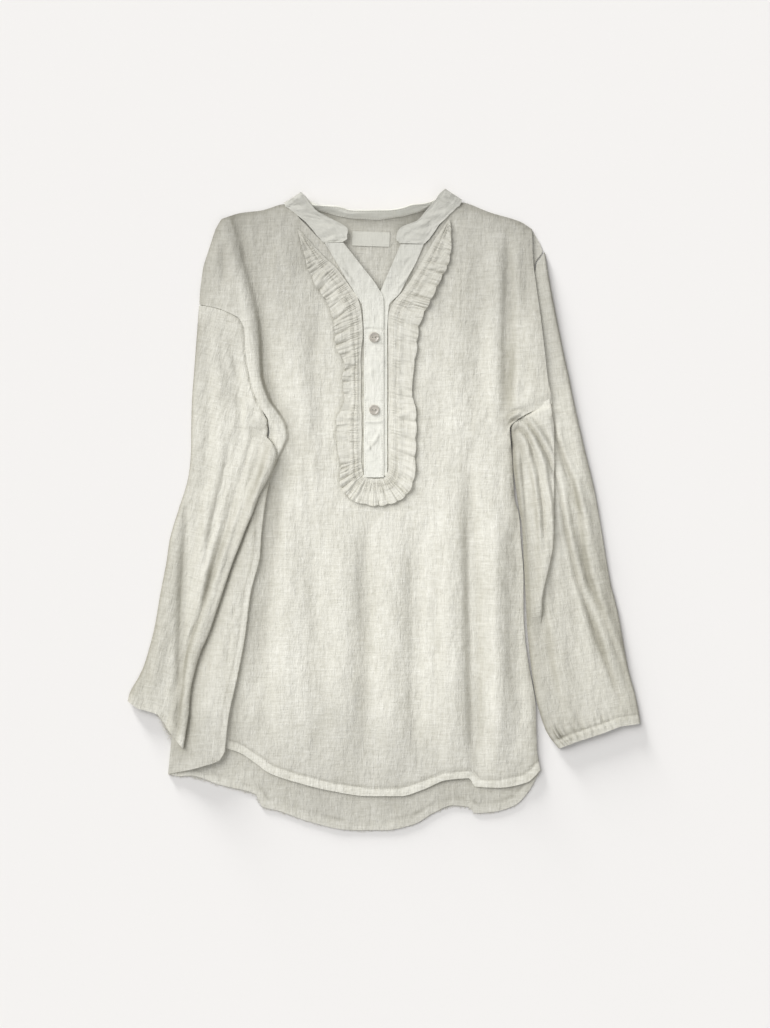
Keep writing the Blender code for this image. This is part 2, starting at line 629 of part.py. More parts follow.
def build_sleeve_left(material):
    """Left sleeve: a flattened tube from the dropped armhole seam to the cuff."""
    fractions = roll_fractions(90.0, 8)
    seam = along_line(LEFT_SEAM, fractions)
    tangent = np.gradient(seam, axis=0)
    tangent /= np.linalg.norm(tangent, axis=-1, keepdims=True)
    outward = np.stack([-tangent[:, 1], tangent[:, 0]], axis=-1)
    # the upper rim starts outside the seam, runs under the front, and ends at the armpit
    tucked = ease(fractions / TUCK_FADE) * ease((TUCK_END - fractions) / TUCK_FADE)
    tuck = -SEAM_OUT + (TUCK + SEAM_OUT) * tucked
    upper_rim = seam + outward * tuck[:, None]
    upper_rim[-1] = SLEEVE_ARMPIT
    # the lower rim runs straight, beside the back's armhole
    start, end = upper_rim[0], upper_rim[-1]
    aside = ease(fractions / RIM_FADE) * ease((1.0 - fractions) / RIM_FADE)
    lower_rim = start + (end - start) * fractions[:, None] + aside[:, None] * LOWER_RIM_ASIDE
    sections = np.asarray(SLEEVE_LEFT, float)[:, None, :]
    sections = sections[..., :2] + (sections[..., 2:] - sections[..., :2]) * fractions[:, None]
    sections = np.concatenate([sections, along_line(CUFF_LEFT, fractions)[None]])
    walls = []
    for rim in (upper_rim, lower_rim):
        halfway = (rim + sections[0]) / 2
        walls.append(np.concatenate([rim[None], halfway[None], sections]))
    top = left_heights(walls[0], fractions)[0]
    bottom = left_heights(walls[1], fractions)[1]
    top = np.concatenate([walls[0], top[..., None]], axis=-1)
    bottom = np.concatenate([walls[1], bottom[..., None]], axis=-1)
    grid = np.concatenate([top, bottom[:, -2:0:-1]], axis=1)
    return wall("sleeve_left", grid, WALL, material, closed=True)


def right_section(line, lap_share, right, down, drop, loft):
    """One section of the right sleeve, from its inner edge: its upper and lower points."""
    width = np.hypot(*np.diff(line, axis=0).T).sum()
    edge, last_edge = ROLL_STEPS, (width - ROLL_STEPS)[::-1]
    start = lap_share * width - LAP_RADIUS
    if start > SLEEVE_ROLL + TUCK:
        inner = np.linspace(SLEEVE_ROLL, start, 5)[1:-1]
    else:
        inner = SLEEVE_ROLL + np.array((1.0, 2.0, 3.0))
    lap = max(start, inner[-1] + WALL) + right
    outer = np.linspace(lap[-1], width - SLEEVE_ROLL, 6)[1:-1]
    s = np.concatenate([edge, inner, lap, outer, last_edge])
    low_s = np.concatenate([edge, np.linspace(SLEEVE_ROLL, width - SLEEVE_ROLL, 6)[1:-1],
                            last_edge])
    upper, lower = along_line(line, s / width), along_line(line, low_s / width)
    rise = rounding(np.minimum(s, width - s), EDGE_ROUND)
    low = BACK_LEVEL
    crease = folds(upper[:, 0], upper[:, 1], RIGHT_SLEEVE_FOLDS)
    high = low + SLEEVE_EDGE + loft * rise * (SLEEVE_LOFT + crease)
    # the upper side steps down across the lap, and climbs to it from the inner edge
    first = len(edge) + len(inner)
    last = first + len(right) - 1
    step = high[last] + drop - high[first]
    high[first:last + 1] = high[last] + drop - down
    high[:first] += step * rounding(s[:first], s[first])
    top = loop_height(s, width, low, high)[0]
    bottom = loop_height(low_s, width, low, low + SLEEVE_EDGE)[1]
    top[0], top[-1] = bottom[0], bottom[-1]
    return (np.concatenate([upper, top[:, None]], axis=-1),
            np.concatenate([lower, bottom[:, None]], axis=-1))


def build_sleeve_right(material):
    """Right sleeve: a flattened tube with a lap along the front's fold line."""
    table = np.asarray(SLEEVE_RIGHT, float)
    rim = np.asarray(ARMHOLE_RIGHT[::-1], float) + RIGHT_RIM_ASIDE
    lines = [rim] + [np.stack([row[2:4], row[0:2]]) for row in table]
    lines.append(np.asarray(CUFF_RIGHT, float)[::-1])
    lap_share, turn, under = np.concatenate([RIM_LAP, table[:, 4:], CUFF_LAP]).T
    right, down, drop = lap_offsets(turn, under)
    grid = []
    for k, line in enumerate(lines):
        loft = 0.0 if k == 0 else 1.0
        top, bottom = right_section(line, lap_share[k], right[k], down[k], drop[k], loft)
        grid.append(np.concatenate([top, bottom[-2:0:-1]], axis=0))
    return wall("sleeve_right", np.array(grid), WALL, material, closed=True)


def smooth_rows(table, steps):
    """Rows of a table with more rows run smoothly between them."""
    table = np.asarray(table, float)
    at = np.arange(len(table), dtype=float)
    fine = np.linspace(0.0, len(table) - 1.0, steps)
    return np.stack([steady(fine, at, column) for column in table.T], axis=-1)


def build_collar(material):
    """Stand collar: one strip from its left front end round the back to its right one."""
    rows = smooth_rows(COLLAR, COLLAR_ROWS)
    seam, edge = rows[:, None, :3], rows[:, None, 3:]
    grid = seam + (edge - seam) * np.linspace(0.0, 1.0, 3)[None, :, None]
    return wall("collar_band", grid, COLLAR_WALL, material)


def build_strip(name, table, level, material):
    """A straight placket strip at the given level."""
    rows = np.asarray(table, float)
    f = np.linspace(0.0, 1.0, 4)[None, :]
    x = rows[:, 1:2] + (rows[:, 2:3] - rows[:, 1:2]) * f
    y = np.broadcast_to(rows[:, 0:1], x.shape)
    return wall(name, np.stack([x, y, np.full_like(x, level)], axis=-1), WALL, material)


def build_ruffle(material):
    """Gathered ruffle with its heading, its waves growing towards the outer edge.

    The waves are a sine of the way along the ruffle whose pace and height both vary, so no
    two gathers are alike.
    """
    steps = RUFFLE_WAVES * RUFFLE_STEPS + 1
    rows = smooth_rows(RUFFLE, steps)[:, None, :]
    w = np.linspace(0.0, 1.0, steps)[:, None]
    turn = 2.0 * math.pi * w
    phase = (2.0 * math.pi) * (RUFFLE_WAVES * w + 0.25 * np.sin(7 * turn)
                               + 0.2 * np.sin(13 * turn + 1.0))
    height = RUFFLE_RISE[0] + RUFFLE_RISE[1] * np.sin(5 * turn + 0.5)
    across = np.array((0.0, 0.5, 1.0))
    # each crest also swings out and in a little
    share = across[:, None] * (1.0 + RUFFLE_SWING * np.sin(phase + 1.2))[..., None]
    points = rows[..., :2] + (rows[..., 2:] - rows[..., :2]) * share
    x, y = points[..., 0], points[..., 1]
    base = front_level(x, y) + (WALL + RUFFLE_WALL) / 2 + 2 * GAP
    ends = ease(w / RUFFLE_ENDS) * ease((1.0 - w) / RUFFLE_ENDS)
    z = base + ends * height * across * (1.0 + np.sin(phase))
    return wall("ruffle", np.stack([x, y, z], axis=-1), RUFFLE_WALL, material)


def build_label(level, material):
    """Blank label inside the back of the neck."""
    width, depth, thick = LABEL_SIZE
    x, y = np.meshgrid(np.linspace(-width / 2, width / 2, 5), np.linspace(depth / 2, -depth / 2, 3))
    tilt = math.radians(LABEL_TILT)
    grid = np.stack([x * math.cos(tilt) - y * math.sin(tilt) + LABEL_CENTRE[0],
                     x * math.sin(tilt) + y * math.cos(tilt) + LABEL_CENTRE[1],
                     np.full_like(x, level)], axis=-1)
    return wall("neck_label", grid, thick, material)


def build_button(name, y, level, material):
    """Two-hole button with a raised rim, turned about its axis and drilled."""
    radius, top = BUTTON_DIAMETER / 2, BUTTON_THICKNESS
    # radius and height of the rings from the underside over the rim to the dished face
    profile = ((radius * 0.72, 0.0), (radius * 0.95, 0.35), (radius, 1.0),
               (radius * 0.97, top - 0.3), (radius * 0.86, top), (radius * 0.72, top - 0.1),
               (radius * 0.55, top - 0.7))
    bm = bmesh.new()
    angles = np.linspace(0.0, 2.0 * math.pi, BUTTON_SIDES, endpoint=False)
    rings = [[bm.verts.new((r * math.cos(a) * MM, r * math.sin(a) * MM, z * MM)) for a in angles]
             for r, z in profile]
    for low, high in zip(rings[:-1], rings[1:]):
        for k in range(BUTTON_SIDES):
            n = (k + 1) % BUTTON_SIDES
            bm.faces.new((low[k], low[n], high[n], high[k]))
    bm.faces.new(list(reversed(rings[0])))
    bm.faces.new(rings[-1])
    bmesh.ops.recalc_face_normals(bm, faces=bm.faces[:])
    button = link_mesh(name, bm, material, 40)
    button.location = ((BUTTON_X - CENTRE_X) * MM, (y - CENTRE_Y) * MM, level * MM)
    for side in (-1, 1):
        bm = bmesh.new()
        bmesh.ops.create_cone(bm, cap_ends=True, segments=8, radius1=BUTTON_HOLE / 2 * MM,
                              radius2=BUTTON_HOLE / 2 * MM, depth=4 * BUTTON_THICKNESS * MM)
        drill = link_mesh(name + "_drill", bm, material, 40)
        drill.location = button.location
        drill.location.x += side * BUTTON_HOLE_SPACING / 2 * MM
        drill.hide_render = True
        drill.display_type = "WIRE"
        cut = button.modifiers.new("hole", "BOOLEAN")
        cut.operation = "DIFFERENCE"
        cut.object = drill
    return button


def make_material(name, colour, roughness):
    """Principled material with one colour and roughness, not metallic."""
    material = bpy.data.materials.new(name)
    material.use_nodes = True
    shader = material.node_tree.nodes["Principled BSDF"]
    shader.inputs["Base Color"].default_value = (*colour, 1.0)
    shader.inputs["Roughness"].default_value = roughness
    shader.inputs["Metallic"].default_value = 0.0
    return material


def main():
    """Clear the scene and build every piece."""
    for old in list(bpy.data.objects):
        bpy.data.objects.remove(old)

    def cloth(name, colour=LINEN):
        return make_material(name, colour, CLOTH_ROUGHNESS)

    build_back(cloth("back_linen"))
    build_front(cloth("front_linen"))
    build_sleeve_left(cloth("sleeve_left_linen"))
    build_sleeve_right(cloth("sleeve_right_linen"))
    build_collar(cloth("collar_linen", BRIGHT_LINEN))
    strip = FRONT_LOW + LOFT + LAYER + STRIP_REST
    build_strip("placket_under", PLACKET_UNDER, strip, cloth("under_linen", BRIGHT_LINEN))
    build_strip("placket_over", PLACKET_OVER, strip + LAYER, cloth("over_linen", BRIGHT_LINEN))
    build_ruffle(cloth("ruffle_linen"))
    top = strip + LAYER + WALL / 2 + GAP
    for name, y in zip(("button_lower", "button_upper"), BUTTON_Y):
        build_button(name, y, top, make_material(name + "_shell", SHELL, SHELL_ROUGHNESS))
    build_label(WALL + GAP + LABEL_SIZE[2] / 2, cloth("label_tape", TAPE))


main()
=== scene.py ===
"""Linen smock blouse, laid flat with its front up, dressed for a soft studio picture.

The garment lies in the XY plane: +X to the viewer's right, +Y towards the neck, +Z up.
Tables and shape functions are in millimetres on the drawing's own centre, and cloth_shell
turns them into metres in the frame. Every piece of cloth is a grid of points through the
middle of the cloth, worked out as whole arrays, with a wall on both sides of it.
"""
import math

import bmesh
import bpy
import numpy as np
from mathutils import Matrix, Vector


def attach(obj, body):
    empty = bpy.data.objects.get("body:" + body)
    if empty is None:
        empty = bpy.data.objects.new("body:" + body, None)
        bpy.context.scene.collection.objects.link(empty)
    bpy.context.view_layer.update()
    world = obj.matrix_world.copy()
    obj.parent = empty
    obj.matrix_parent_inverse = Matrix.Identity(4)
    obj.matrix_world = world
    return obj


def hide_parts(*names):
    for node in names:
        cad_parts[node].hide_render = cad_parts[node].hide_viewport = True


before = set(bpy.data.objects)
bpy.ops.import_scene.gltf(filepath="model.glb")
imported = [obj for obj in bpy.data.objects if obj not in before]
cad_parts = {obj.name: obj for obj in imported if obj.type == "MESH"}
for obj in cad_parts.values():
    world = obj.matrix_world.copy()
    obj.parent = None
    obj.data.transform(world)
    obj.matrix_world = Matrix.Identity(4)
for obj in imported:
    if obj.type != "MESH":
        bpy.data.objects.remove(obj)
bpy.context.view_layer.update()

bl_info = {
    "name": "Smock Blouse",
    "version": (1, 0, 0),
    "blender": (4, 5, 0),
    "location": "3D View > Sidebar > Blouse",
    "description": "Builds a linen smock blouse laid flat, its stitching and its studio",
    "category": "Add Mesh",
}


MM = 0.001

# Driving dimensions, in millimetres
WALL = 1.2  # cloth with its weave and nap
GAP = 0.3  # between pieces at seams
LAYER = WALL + GAP  # one layer of cloth on another
BACK_LEVEL = WALL / 2  # middle of the back's cloth
FRONT_LOW = BACK_LEVEL + LAYER
LOFT = 3.0  # rise of the front's middle over its edges
EDGE_ROUND = 14.0  # width of the rounding along an edge
TUCK = 4.0  # how far one piece runs under its neighbour at a seam
CENTRE_X = -0.5  # middle of the whole outline, which becomes X = 0, Y = 0
CENTRE_Y = 2.05
HEM_LOFT = 0.45  # share of the loft that is left at the front's hem
HEM_REACH = 60.0  # distance above the hem at which the loft is whole again
SLIT_BOTTOM = 46.0  # lower end of the placket slit
COLLAR_WALL = 1.4
RUFFLE_WALL = 1.0
RUFFLE_CLOTH = 0.8  # its wall in the scene, so that its folds stay thin
RUFFLE_WAVES = 42
RUFFLE_RISE = (1.7, 0.5)  # half height of its waves at the outer edge, and how it varies
RUFFLE_ENDS = 0.03  # share of its length over which its waves start and end
RUFFLE_SWING = 0.03  # share of its width by which its edge goes out and in
STRIP_REST = 0.1  # play under the lower placket strip
LABEL_SIZE = (44.0, 17.0, 1.0)
BUTTON_DIAMETER = 12.0
BUTTON_THICKNESS = 2.4
BUTTON_HOLE = 1.6
BUTTON_HOLE_SPACING = 3.2
BUTTON_X = -12.0
BUTTON_Y = (119.0, 204.0)
LABEL_CENTRE = (-16.0, 320.0)
LABEL_TILT = -2.0  # degrees

# The rise of the front over the right sleeve, in two steps. Each row: y where it starts,
# y where it is whole, height
RIGHT_RISE = ((324, 300, 3.6), (250, 180, 3.4))
RIGHT_RISE_X = (14.0, 22.0)  # how far inside the armhole it starts, and its width
RIGHT_RISE_END = (60.0, 90.0)  # y from which the front lies on the body again, and above

# The crossing of the left sleeve and the front
ARMPIT_Y = 104.0  # above this y the front is on top
FRONT_FALL = 18.0  # the front comes down to the body within this distance below it
SLEEVE_CLIMB = (100.0, 16.0)  # y where the sleeve starts to climb on the front, and over
CLIMB_X = (11.0, 9.5)  # how far outside the side it starts to climb, and over
CROSS_GAP = 0.5  # further room between the two where they cross
UNDER_GAP = 0.9  # further room over the sleeve's tucked end
UNDER_END = 60.0  # y from which it does so, and wholly so this far above it
UNDER_FADE = 40.0
UNDER_REACH = 45.0  # distance from the seam within which the sleeve keeps below it

# Outlines. Each row: x, y
SHOULDER_LEFT = ((-191, 343), (-170, 350), (-145, 353), (-117, 360))
SHOULDER_RIGHT = ((89, 362), (126, 350), (159, 340), (173, 331))
LEFT_EDGE = ((-191, 343), (-198, 331), (-206, 307), (-213, 284), (-217, 243))
LEFT_SEAM = ((-217, 243), (-207, 241), (-197, 239), (-182, 233), (-171, 227), (-164, 213),
        (-163, 190), (-159, 164), (-152, 137), (-142, 117), (-136, 106))
SLEEVE_ARMPIT = (-138.6, 105.0)
SIDE_LEFT = (
    (-136, 104), (-135, 94), (-137, 84), (-144, 49), (-163, 8), (-177, -28), (-191, -66), (-204, -104),
    (-218, -151), (-233, -198), (-243, -233), (-250, -268), (-254, -308),
)
RIGHT_EDGE = ((173, 331), (183, 314), (186, 305))
ARMHOLE_RIGHT = ((186, 305), (177, 293), (171, 262), (165, 215), (157, 155), (147, 98))
SIDE_RIGHT = ((147, 98), (150, 56), (152, 18), (158, -6), (160, -35), (163, -76), (163, -115),
        (165, -151), (170, -185), (177, -227), (179, -281), (183, -303))
FOLD_RIGHT = ((173, 331), (174, 299), (178, 264), (183, 227), (187, 192), (191, 156), (196, 126))
SEAM_RIGHT = ((196, 126), (182, 121), (168, 115), (156, 108), (147, 98))
FRONT_NECK = ((-117, 360), (-96, 340), (-66, 315), (42, 312), (72, 345), (89, 362))
BACK_NECK = ((-117, 361), (-96, 358), (-66, 352), (-39, 347), (-10, 346), (19, 349), (48, 355),
        (70, 361), (89, 363))
FLAP_HEM = ((-254, -308), (-229, -303), (-211, -298), (-194, -292), (-187, -281))
FRONT_HEM = (
    (-200, -277), (-187, -278), (-170, -283), (-153, -294), (-135, -307), (-99, -319), (-62, -328),
    (-19, -334), (19, -334), (46, -326), (73, -315), (99, -313), (107, -323), (135, -324), (167, -318),
    (176, -311), (183, -303),
)
BACK_HEM = (
    (-254, -308), (-241, -311), (-229, -310), (-193, -321), (-151, -332), (-143, -347), (-126, -351),
    (-89, -364), (-41, -374), (3, -374), (35, -367), (59, -353), (80, -345), (99, -347), (107, -354),
    (126, -353), (153, -345), (168, -330), (183, -303),
)
SLOT_LEFT = ((-66, 315), (-34, 263), (-20, 241), (-19, 202), (-19, 36), (-19, -334))
SLOT_RIGHT = ((42, 312), (14, 256), (-1, 239), (-2, 202), (-2, 36), (-2, -334))


# How many columns each group of the front has
FRONT_COLUMNS = {"left": 24, "lap": 20, "middle": 40, "slit": 6, "right": 78}


# The lap at the left: the front is folded over itself and its rolled edge faces right.
# Each row: y, x of the rolled edge, turn of the roll in degrees, width turned under
LAP_LEFT = (
    (343, -182, 0, 0.0), (321, -174, 0, 0.0), (288, -166, 8, 0.0), (250, -156, 35, 0.0),
    (210, -149, 80, 0.0), (159, -146, 100, 0.0), (133, -138, 100, 0.0), (115, -126, 90, 0.0),
    (103, -119, 85, 0.0), (89, -116, 85, 0.0), (75, -121, 90, 0.0), (62, -127, 105, 0.0),
    (29, -136, 180, 3.0), (-26, -144, 180, 8.0), (-53, -146, 180, 10.0), (-92, -156, 180, 12.0),
    (-150, -164, 180, 14.0), (-192, -172, 180, 14.0), (-244, -183, 180, 14.0), (-281, -187, 180, 12.0),
)
LAP_RADIUS = 1.15
LAP_SPREAD = 0.9  # step between the points of a lap that isn't turned

# Folds of the front. Each row: height (a trough is negative), half width, then its points
FRONT_FOLDS = (
    (-1.8, 9, ((-24, -5), (-24, -80), (-24, -160))),
    (-1.8, 10, ((34, -5), (36, -150), (38, -300))),
    (-2.6, 8, ((98, 10), (102, -104), (105, -221), (107, -316))),
    (2.4, 12, ((128, 10), (129, -104), (131, -221), (133, -322))),
    (-1.6, 9, ((-140, -90), (-140, -180), (-142, -285))),
    (1.5, 12, ((-100, -60), (-98, -180), (-96, -310))),
    (1.2, 14, ((72, -40), (74, -160), (76, -318))),
    (-2.6, 9, ((156, 292), (151, 246), (149, 173), (147, 112))),
    (1.6, 7, ((163, 262), (162, 210), (158, 160), (151, 118))),
    (-1.6, 6, ((170, 200), (165, 165), (160, 140), (150, 112))),
    (1.4, 12, ((-96, 300), (-98, 200), (-92, 60))),
    (1.2, 14, ((98, 300), (96, 190), (92, 60))),
)
LEFT_LAYER_FOLDS = (
    (-1.6, 5, ((-189, 320), (-189, 285), (-188, 262))),
    (1.4, 8, ((-200, 225), (-196, 180), (-188, 130))),
    (-1.6, 7, ((-176, 195), (-174, 150), (-168, 110))),
    (-1.8, 6, ((-234, 17), (-233, -17), (-236, -80), (-238, -150), (-240, -205), (-246, -262))),
    (1.6, 7, ((-206, 60), (-212, -10), (-216, -80), (-222, -150))),
    (-1.5, 6, ((-216, -118), (-226, -150), (-232, -185), (-238, -220))),
    (1.5, 8, ((-262, -120), (-272, -170), (-284, -212))),
)
RIGHT_SLEEVE_FOLDS = (
    (-1.8, 6, ((203, 70), (215, 40), (223, 5), (231, -35), (240, -85), (252, -150), (276, -215))),
    (1.8, 7, ((214, 95), (226, 52), (236, 5), (246, -50), (262, -130), (284, -205))),
    (-1.5, 6, ((226, 62), (240, 10), (250, -40), (262, -90))),
    (-1.4, 7, ((205, -10), (214, -60), (222, -110), (226, -160))),
    (1.4, 9, ((196, -110), (204, -160), (212, -215))),
)

# Sleeves. Each row is a section: outer x, outer y, inner x, inner y
SLEEVE_LEFT = (
    (-219, 218, -137.2, 96), (-221, 192, -137.9, 87), (-223, 165, -131, 79), (-225, 140, -126.5, 68),
    (-226, 118, -129, 56), (-226.5, 92, -137, 38), (-227, 65, -147, 19), (-231, 35, -154, 0),
    (-241, 3, -163, -21), (-251, -30, -171, -42), (-256, -62, -179, -62), (-263, -98, -193, -104),
    (-270, -138, -206, -142), (-280, -175, -216, -165), (-287, -192, -223, -188), (-295, -206, -228, -214),
    (-299, -214, -230, -240),
)
LEFT_OUTLINE = tuple(row[:2] for row in SLEEVE_LEFT)
CUFF_LEFT = ((-301, -223), (-290, -231), (-279, -234), (-266, -238), (-258, -249), (-250, -261),
        (-236, -278))
SLEEVE_RIGHT = (
    (193, 272, 149.2, 90, 0.75, 0, 0), (200, 235, 150.1, 78, 0.72, 0, 0),
    (209, 190, 151.2, 60, 0.68, 100, 1), (216, 158, 151.9, 48, 0.67, 150, 3),
    (222, 128, 153.4, 36, 0.66, 180, 6), (234, 75, 157.5, 8, 0.54, 180, 9),
    (246, 25, 162, -20, 0.43, 180, 10), (254, -20, 164, -60, 0.36, 180, 10),
    (264, -80, 166, -98, 0.19, 165, 4), (270, -104, 167, -118, 0.15, 110, 2),
    (275, -126, 168, -138, 0.11, 40, 0), (285, -182, 173, -185, 0.10, 0, 0),
    (293, -212, 179, -222, 0.10, 0, 0), (298, -236, 190, -257, 0.10, 0, 0),
)
CUFF_RIGHT = ((300, -249), (277, -252), (254, -261), (226, -270), (205, -278))
SLEEVE_OUTLINES = {
    "left": (LEFT_OUTLINE, tuple(row[2:4] for row in SLEEVE_LEFT)),
    "right": (tuple(row[:2] for row in SLEEVE_RIGHT), tuple(row[2:4] for row in SLEEVE_RIGHT)),
}
SLEEVE_EDGE = 3.0  # height of a sleeve's rolled edge, middle to middle
SLEEVE_LOFT = 1.8  # further rise of its middle
SLEEVE_ROLL = 5.0  # width of the rolled edge
SLEEVE_LEAST = 2.64  # least height of a sleeve, middle to middle
ROLL_STEPS = SLEEVE_ROLL * (1.0 - np.cos(np.linspace(0.0, math.pi / 2, 8)))
SIDE_SHARE = 0.6  # share of the left layer's width over which it rises from its side
TUCK_FADE = 0.16  # share of the seam over which a sleeve's tuck starts and ends
TUCK_END = 0.96  # share of the seam at which it has ended
RIM_FADE = 0.12
SEAM_OUT = 1.2  # how far the sleeve's rim starts outside its seam
LOWER_RIM_ASIDE = np.array((-1.9, -1.3))  # from the straight line between its two ends
RIGHT_RIM_ASIDE = np.array((1.9, -0.9))  # from the back's armhole
RIM_LAP = ((0.75, 0.0, 0.0),)  # lap share, turn and width under at the rim
CUFF_LAP = ((0.10, 0.0, 0.0),)

# Stand collar. Each row: x, y, z of the neck seam, then x, y, z of the free edge
COLLAR = (
    (-71, 315.2, 7.2, -50, 315.6, 7.3), (-74, 318, 7.2, -43.8, 320.5, 7.5),
    (-80, 325, 7.2, -43.6, 331, 7.9), (-92, 338, 7.2, -59, 342, 8.8), (-104, 349, 7.0, -78, 351, 10.0),
    (-112, 355, 6.6, -88, 362, 11.6), (-116.5, 358.5, 6.3, -95, 371, 13.3),
    (-118, 361, 4.9, -97.5, 373.5, 11.8), (-114.5, 362.5, 3.4, -94.5, 370.5, 9.5),
    (-107, 361.5, 2.6, -84, 361.5, 9.0), (-96, 357.5, 2.1, -74, 358.5, 11.5),
    (-66, 350.5, 2.1, -57, 357, 14.0), (-39, 344.5, 2.1, -35, 352.5, 14.5),
    (-10, 343.5, 2.1, -9, 352, 14.5), (19, 346.5, 2.1, 15, 354, 14.5), (42, 352.5, 2.1, 33, 359, 14.0),
    (70, 360, 2.1, 48, 361, 11.5), (80, 364.5, 2.6, 58, 364.5, 9.0), (87, 366, 3.4, 67, 374, 9.5),
    (91, 364.5, 4.9, 70.5, 377.5, 11.8), (89, 361, 6.3, 68, 375, 13.3), (85, 356.5, 6.6, 61, 367, 11.6),
    (77, 349, 7.0, 52.5, 357, 10.0), (65, 336, 7.2, 38, 341.5, 8.8), (54, 322, 7.2, 18.5, 332, 7.9),
    (49, 316, 7.2, 13.6, 321, 7.5), (46, 313.6, 7.2, 18, 314.5, 7.3),
)

# Ruffle. Each row: x, y at the gathered side, x, y at the outer edge
RUFFLE = (
    (-99, 329, -102, 331), (-88, 315, -96, 308), (-73, 297, -89, 284), (-60, 284, -79, 262),
    (-45, 264, -68, 247), (-34, 246, -61, 228), (-30, 226, -58, 212), (-29, 205, -57, 194),
    (-30, 180, -46, 172), (-30, 160, -49, 156), (-30, 132, -47, 131), (-30, 110, -56, 106),
    (-30, 85, -56, 81), (-30, 62, -51, 54), (-29, 48, -52, 34), (-26, 40, -42, 17), (-20, 36, -25, 9),
    (-11, 35, -9, 7), (-1, 36, 12, 11), (5, 41, 27, 22), (8, 53, 35, 42), (8, 76, 36, 70),
    (8, 110, 37, 108), (8, 150, 32, 147), (8, 190, 37, 187), (8, 224, 40, 216), (14, 243, 48, 236),
    (27, 260, 56, 252), (39, 279, 66, 273), (50, 298, 75, 292), (61, 318, 78, 311), (70, 333, 78, 328),
    (75, 342, 77, 340),
)

# Placket strips. Each row: y, left x, right x
PLACKET_OVER = ((314.9, -70, -48), (288, -54, -27), (263, -39, -8), (250, -31, -1.5),
        (241, -26, -1), (202, -24, -1), (120, -24, -1), (40, -24, -1))
PLACKET_UNDER = ((313.3, 19, 46), (290, 9, 36), (272, 1, 26), (256, -6, 18), (241, -19, 5),
        (202, -20, 3), (120, -20, 3), (42, -20, 3))


# Finer grids of the scene, in points
FRONT_STEPS = 286
BACK_STEPS = (180, 140)
SLEEVE_STEPS = 260
LEFT_MIDDLE = 60
RIGHT_INNER = 44
RIGHT_OUTER = 40
COLLAR_STEPS = (520, 22)
STRIP_STEPS = (420, 34)
RUFFLE_ACROSS = 20
RUFFLE_FINE = 34  # points along each wave

# Turn of each sleeve's cloth, in degrees, so that its threads run down the sleeve
LEFT_GRAIN = -13.0
RIGHT_GRAIN = 9.0

# Creases of the front. Each row: height (a trough is negative), half width, then its points
FRONT_CREASES = (
    (3.6, 10, ((-210, 380), (-186, 330), (-171, 282), (-161, 240), (-156, 200), (-152, 160), (-142, 126),
        (-124, 96), (-112, 70))),
    (-2.6, 9, ((-184, 380), (-164, 300), (-150, 250), (-142, 205), (-139, 165), (-128, 126), (-106, 92),
        (-104, 60))),
    (-2.4, 9, ((-104, 100), (-106, 74), (-118, 36), (-128, -20), (-134, -80), (-146, -160), (-158, -250))),
    (2.6, 16, ((-118, 380), (-118, 270), (-110, 190), (-98, 130), (-82, 70), (-86, 0))),
    (2.4, 14, ((-110, 10), (-112, -60), (-116, -150), (-120, -290))),
    (3.4, 17, ((-50, 0), (-50, -90), (-52, -200), (-54, -330))),
    (-2.2, 10, ((-22, 0), (-22, -90), (-24, -200), (-24, -320))),
    (3.2, 16, ((6, 0), (8, -90), (6, -200), (8, -340))),
    (-2.2, 10, ((34, 0), (36, -100), (36, -200), (38, -318))),
    (4.4, 19, ((74, 60), (78, -40), (80, -180), (82, -350))),
    (-4.6, 8, ((98, 90), (101, -20), (104, -140), (106, -240), (108, -340))),
    (4.6, 15, ((126, 70), (130, -60), (132, -180), (134, -350))),
    (-2.6, 9, ((157, 40), (156, -60), (155, -150), (162, -290))),
    (3.6, 5.5, ((158, 330), (157, 250), (155, 190), (153, 140), (150, 90))),
    (-3.8, 6, ((145, 345), (145, 263), (144, 200), (144, 150), (145, 80))),
    (2.6, 12, ((132, 340), (130, 240), (128, 160), (130, 80))),
    (-2.2, 16, ((104, 370), (112, 280), (110, 200), (108, 90))),
    (1.8, 12, ((84, 240), (80, 150), (80, 60))),
    (-1.1, 10, ((-70, 250), (-84, 190), (-80, 120), (-78, 60))),
    (-0.9, 4, ((-112, 84), (-96, 60), (-88, 20), (-86, -40))),
    (0.8, 5, ((-104, 92), (-86, 66), (-76, 20))),
    (-0.8, 4, ((-128, 40), (-124, 0), (-122, -50))),
    (-1.0, 5, ((146, 94), (136, 60), (134, 20), (138, -30))),
    (-0.8, 4, ((128, 120), (112, 96), (102, 60))),
    (-0.7, 4, ((60, 300), (66, 260), (70, 210))),
    (0.7, 5, ((-128, 300), (-126, 260), (-124, 210))),
    (-0.9, 5, ((-86, -20), (-84, -90), (-80, -170))),
    (-0.8, 5, ((62, -60), (60, -150), (58, -250))),
    (-0.8, 4, ((146, -60), (146, -140), (150, -230))),
)

# Creases of the placket's strips about the buttons. Rows as for the front's
PLACKET_CREASES = (
    (-1.2, 1.6, ((-30, 127), (-18, 129), (-6, 128), (4, 130))),
    (-1.0, 1.6, ((-30, 112), (-16, 110), (4, 111))),
    (1.0, 2.2, ((-28, 106), (-12, 105), (2, 107))),
    (-1.1, 1.6, ((-30, 212), (-16, 214), (4, 212))),
    (-1.0, 1.6, ((-30, 196), (-14, 194), (4, 196))),
    (-1.0, 2.0, ((-24, 90), (-14, 74), (-4, 66))),
    (1.0, 2.4, ((-4, 96), (-12, 82), (-22, 70))),
    (-0.9, 1.8, ((-60, 306), (-48, 296), (-36, 270))),
    (1.0, 2.2, ((-66, 296), (-50, 284), (-34, 262))),
    (-0.9, 1.8, ((36, 304), (24, 288), (8, 262))),
    (1.0, 2.2, ((44, 296), (28, 276), (10, 256))),
)

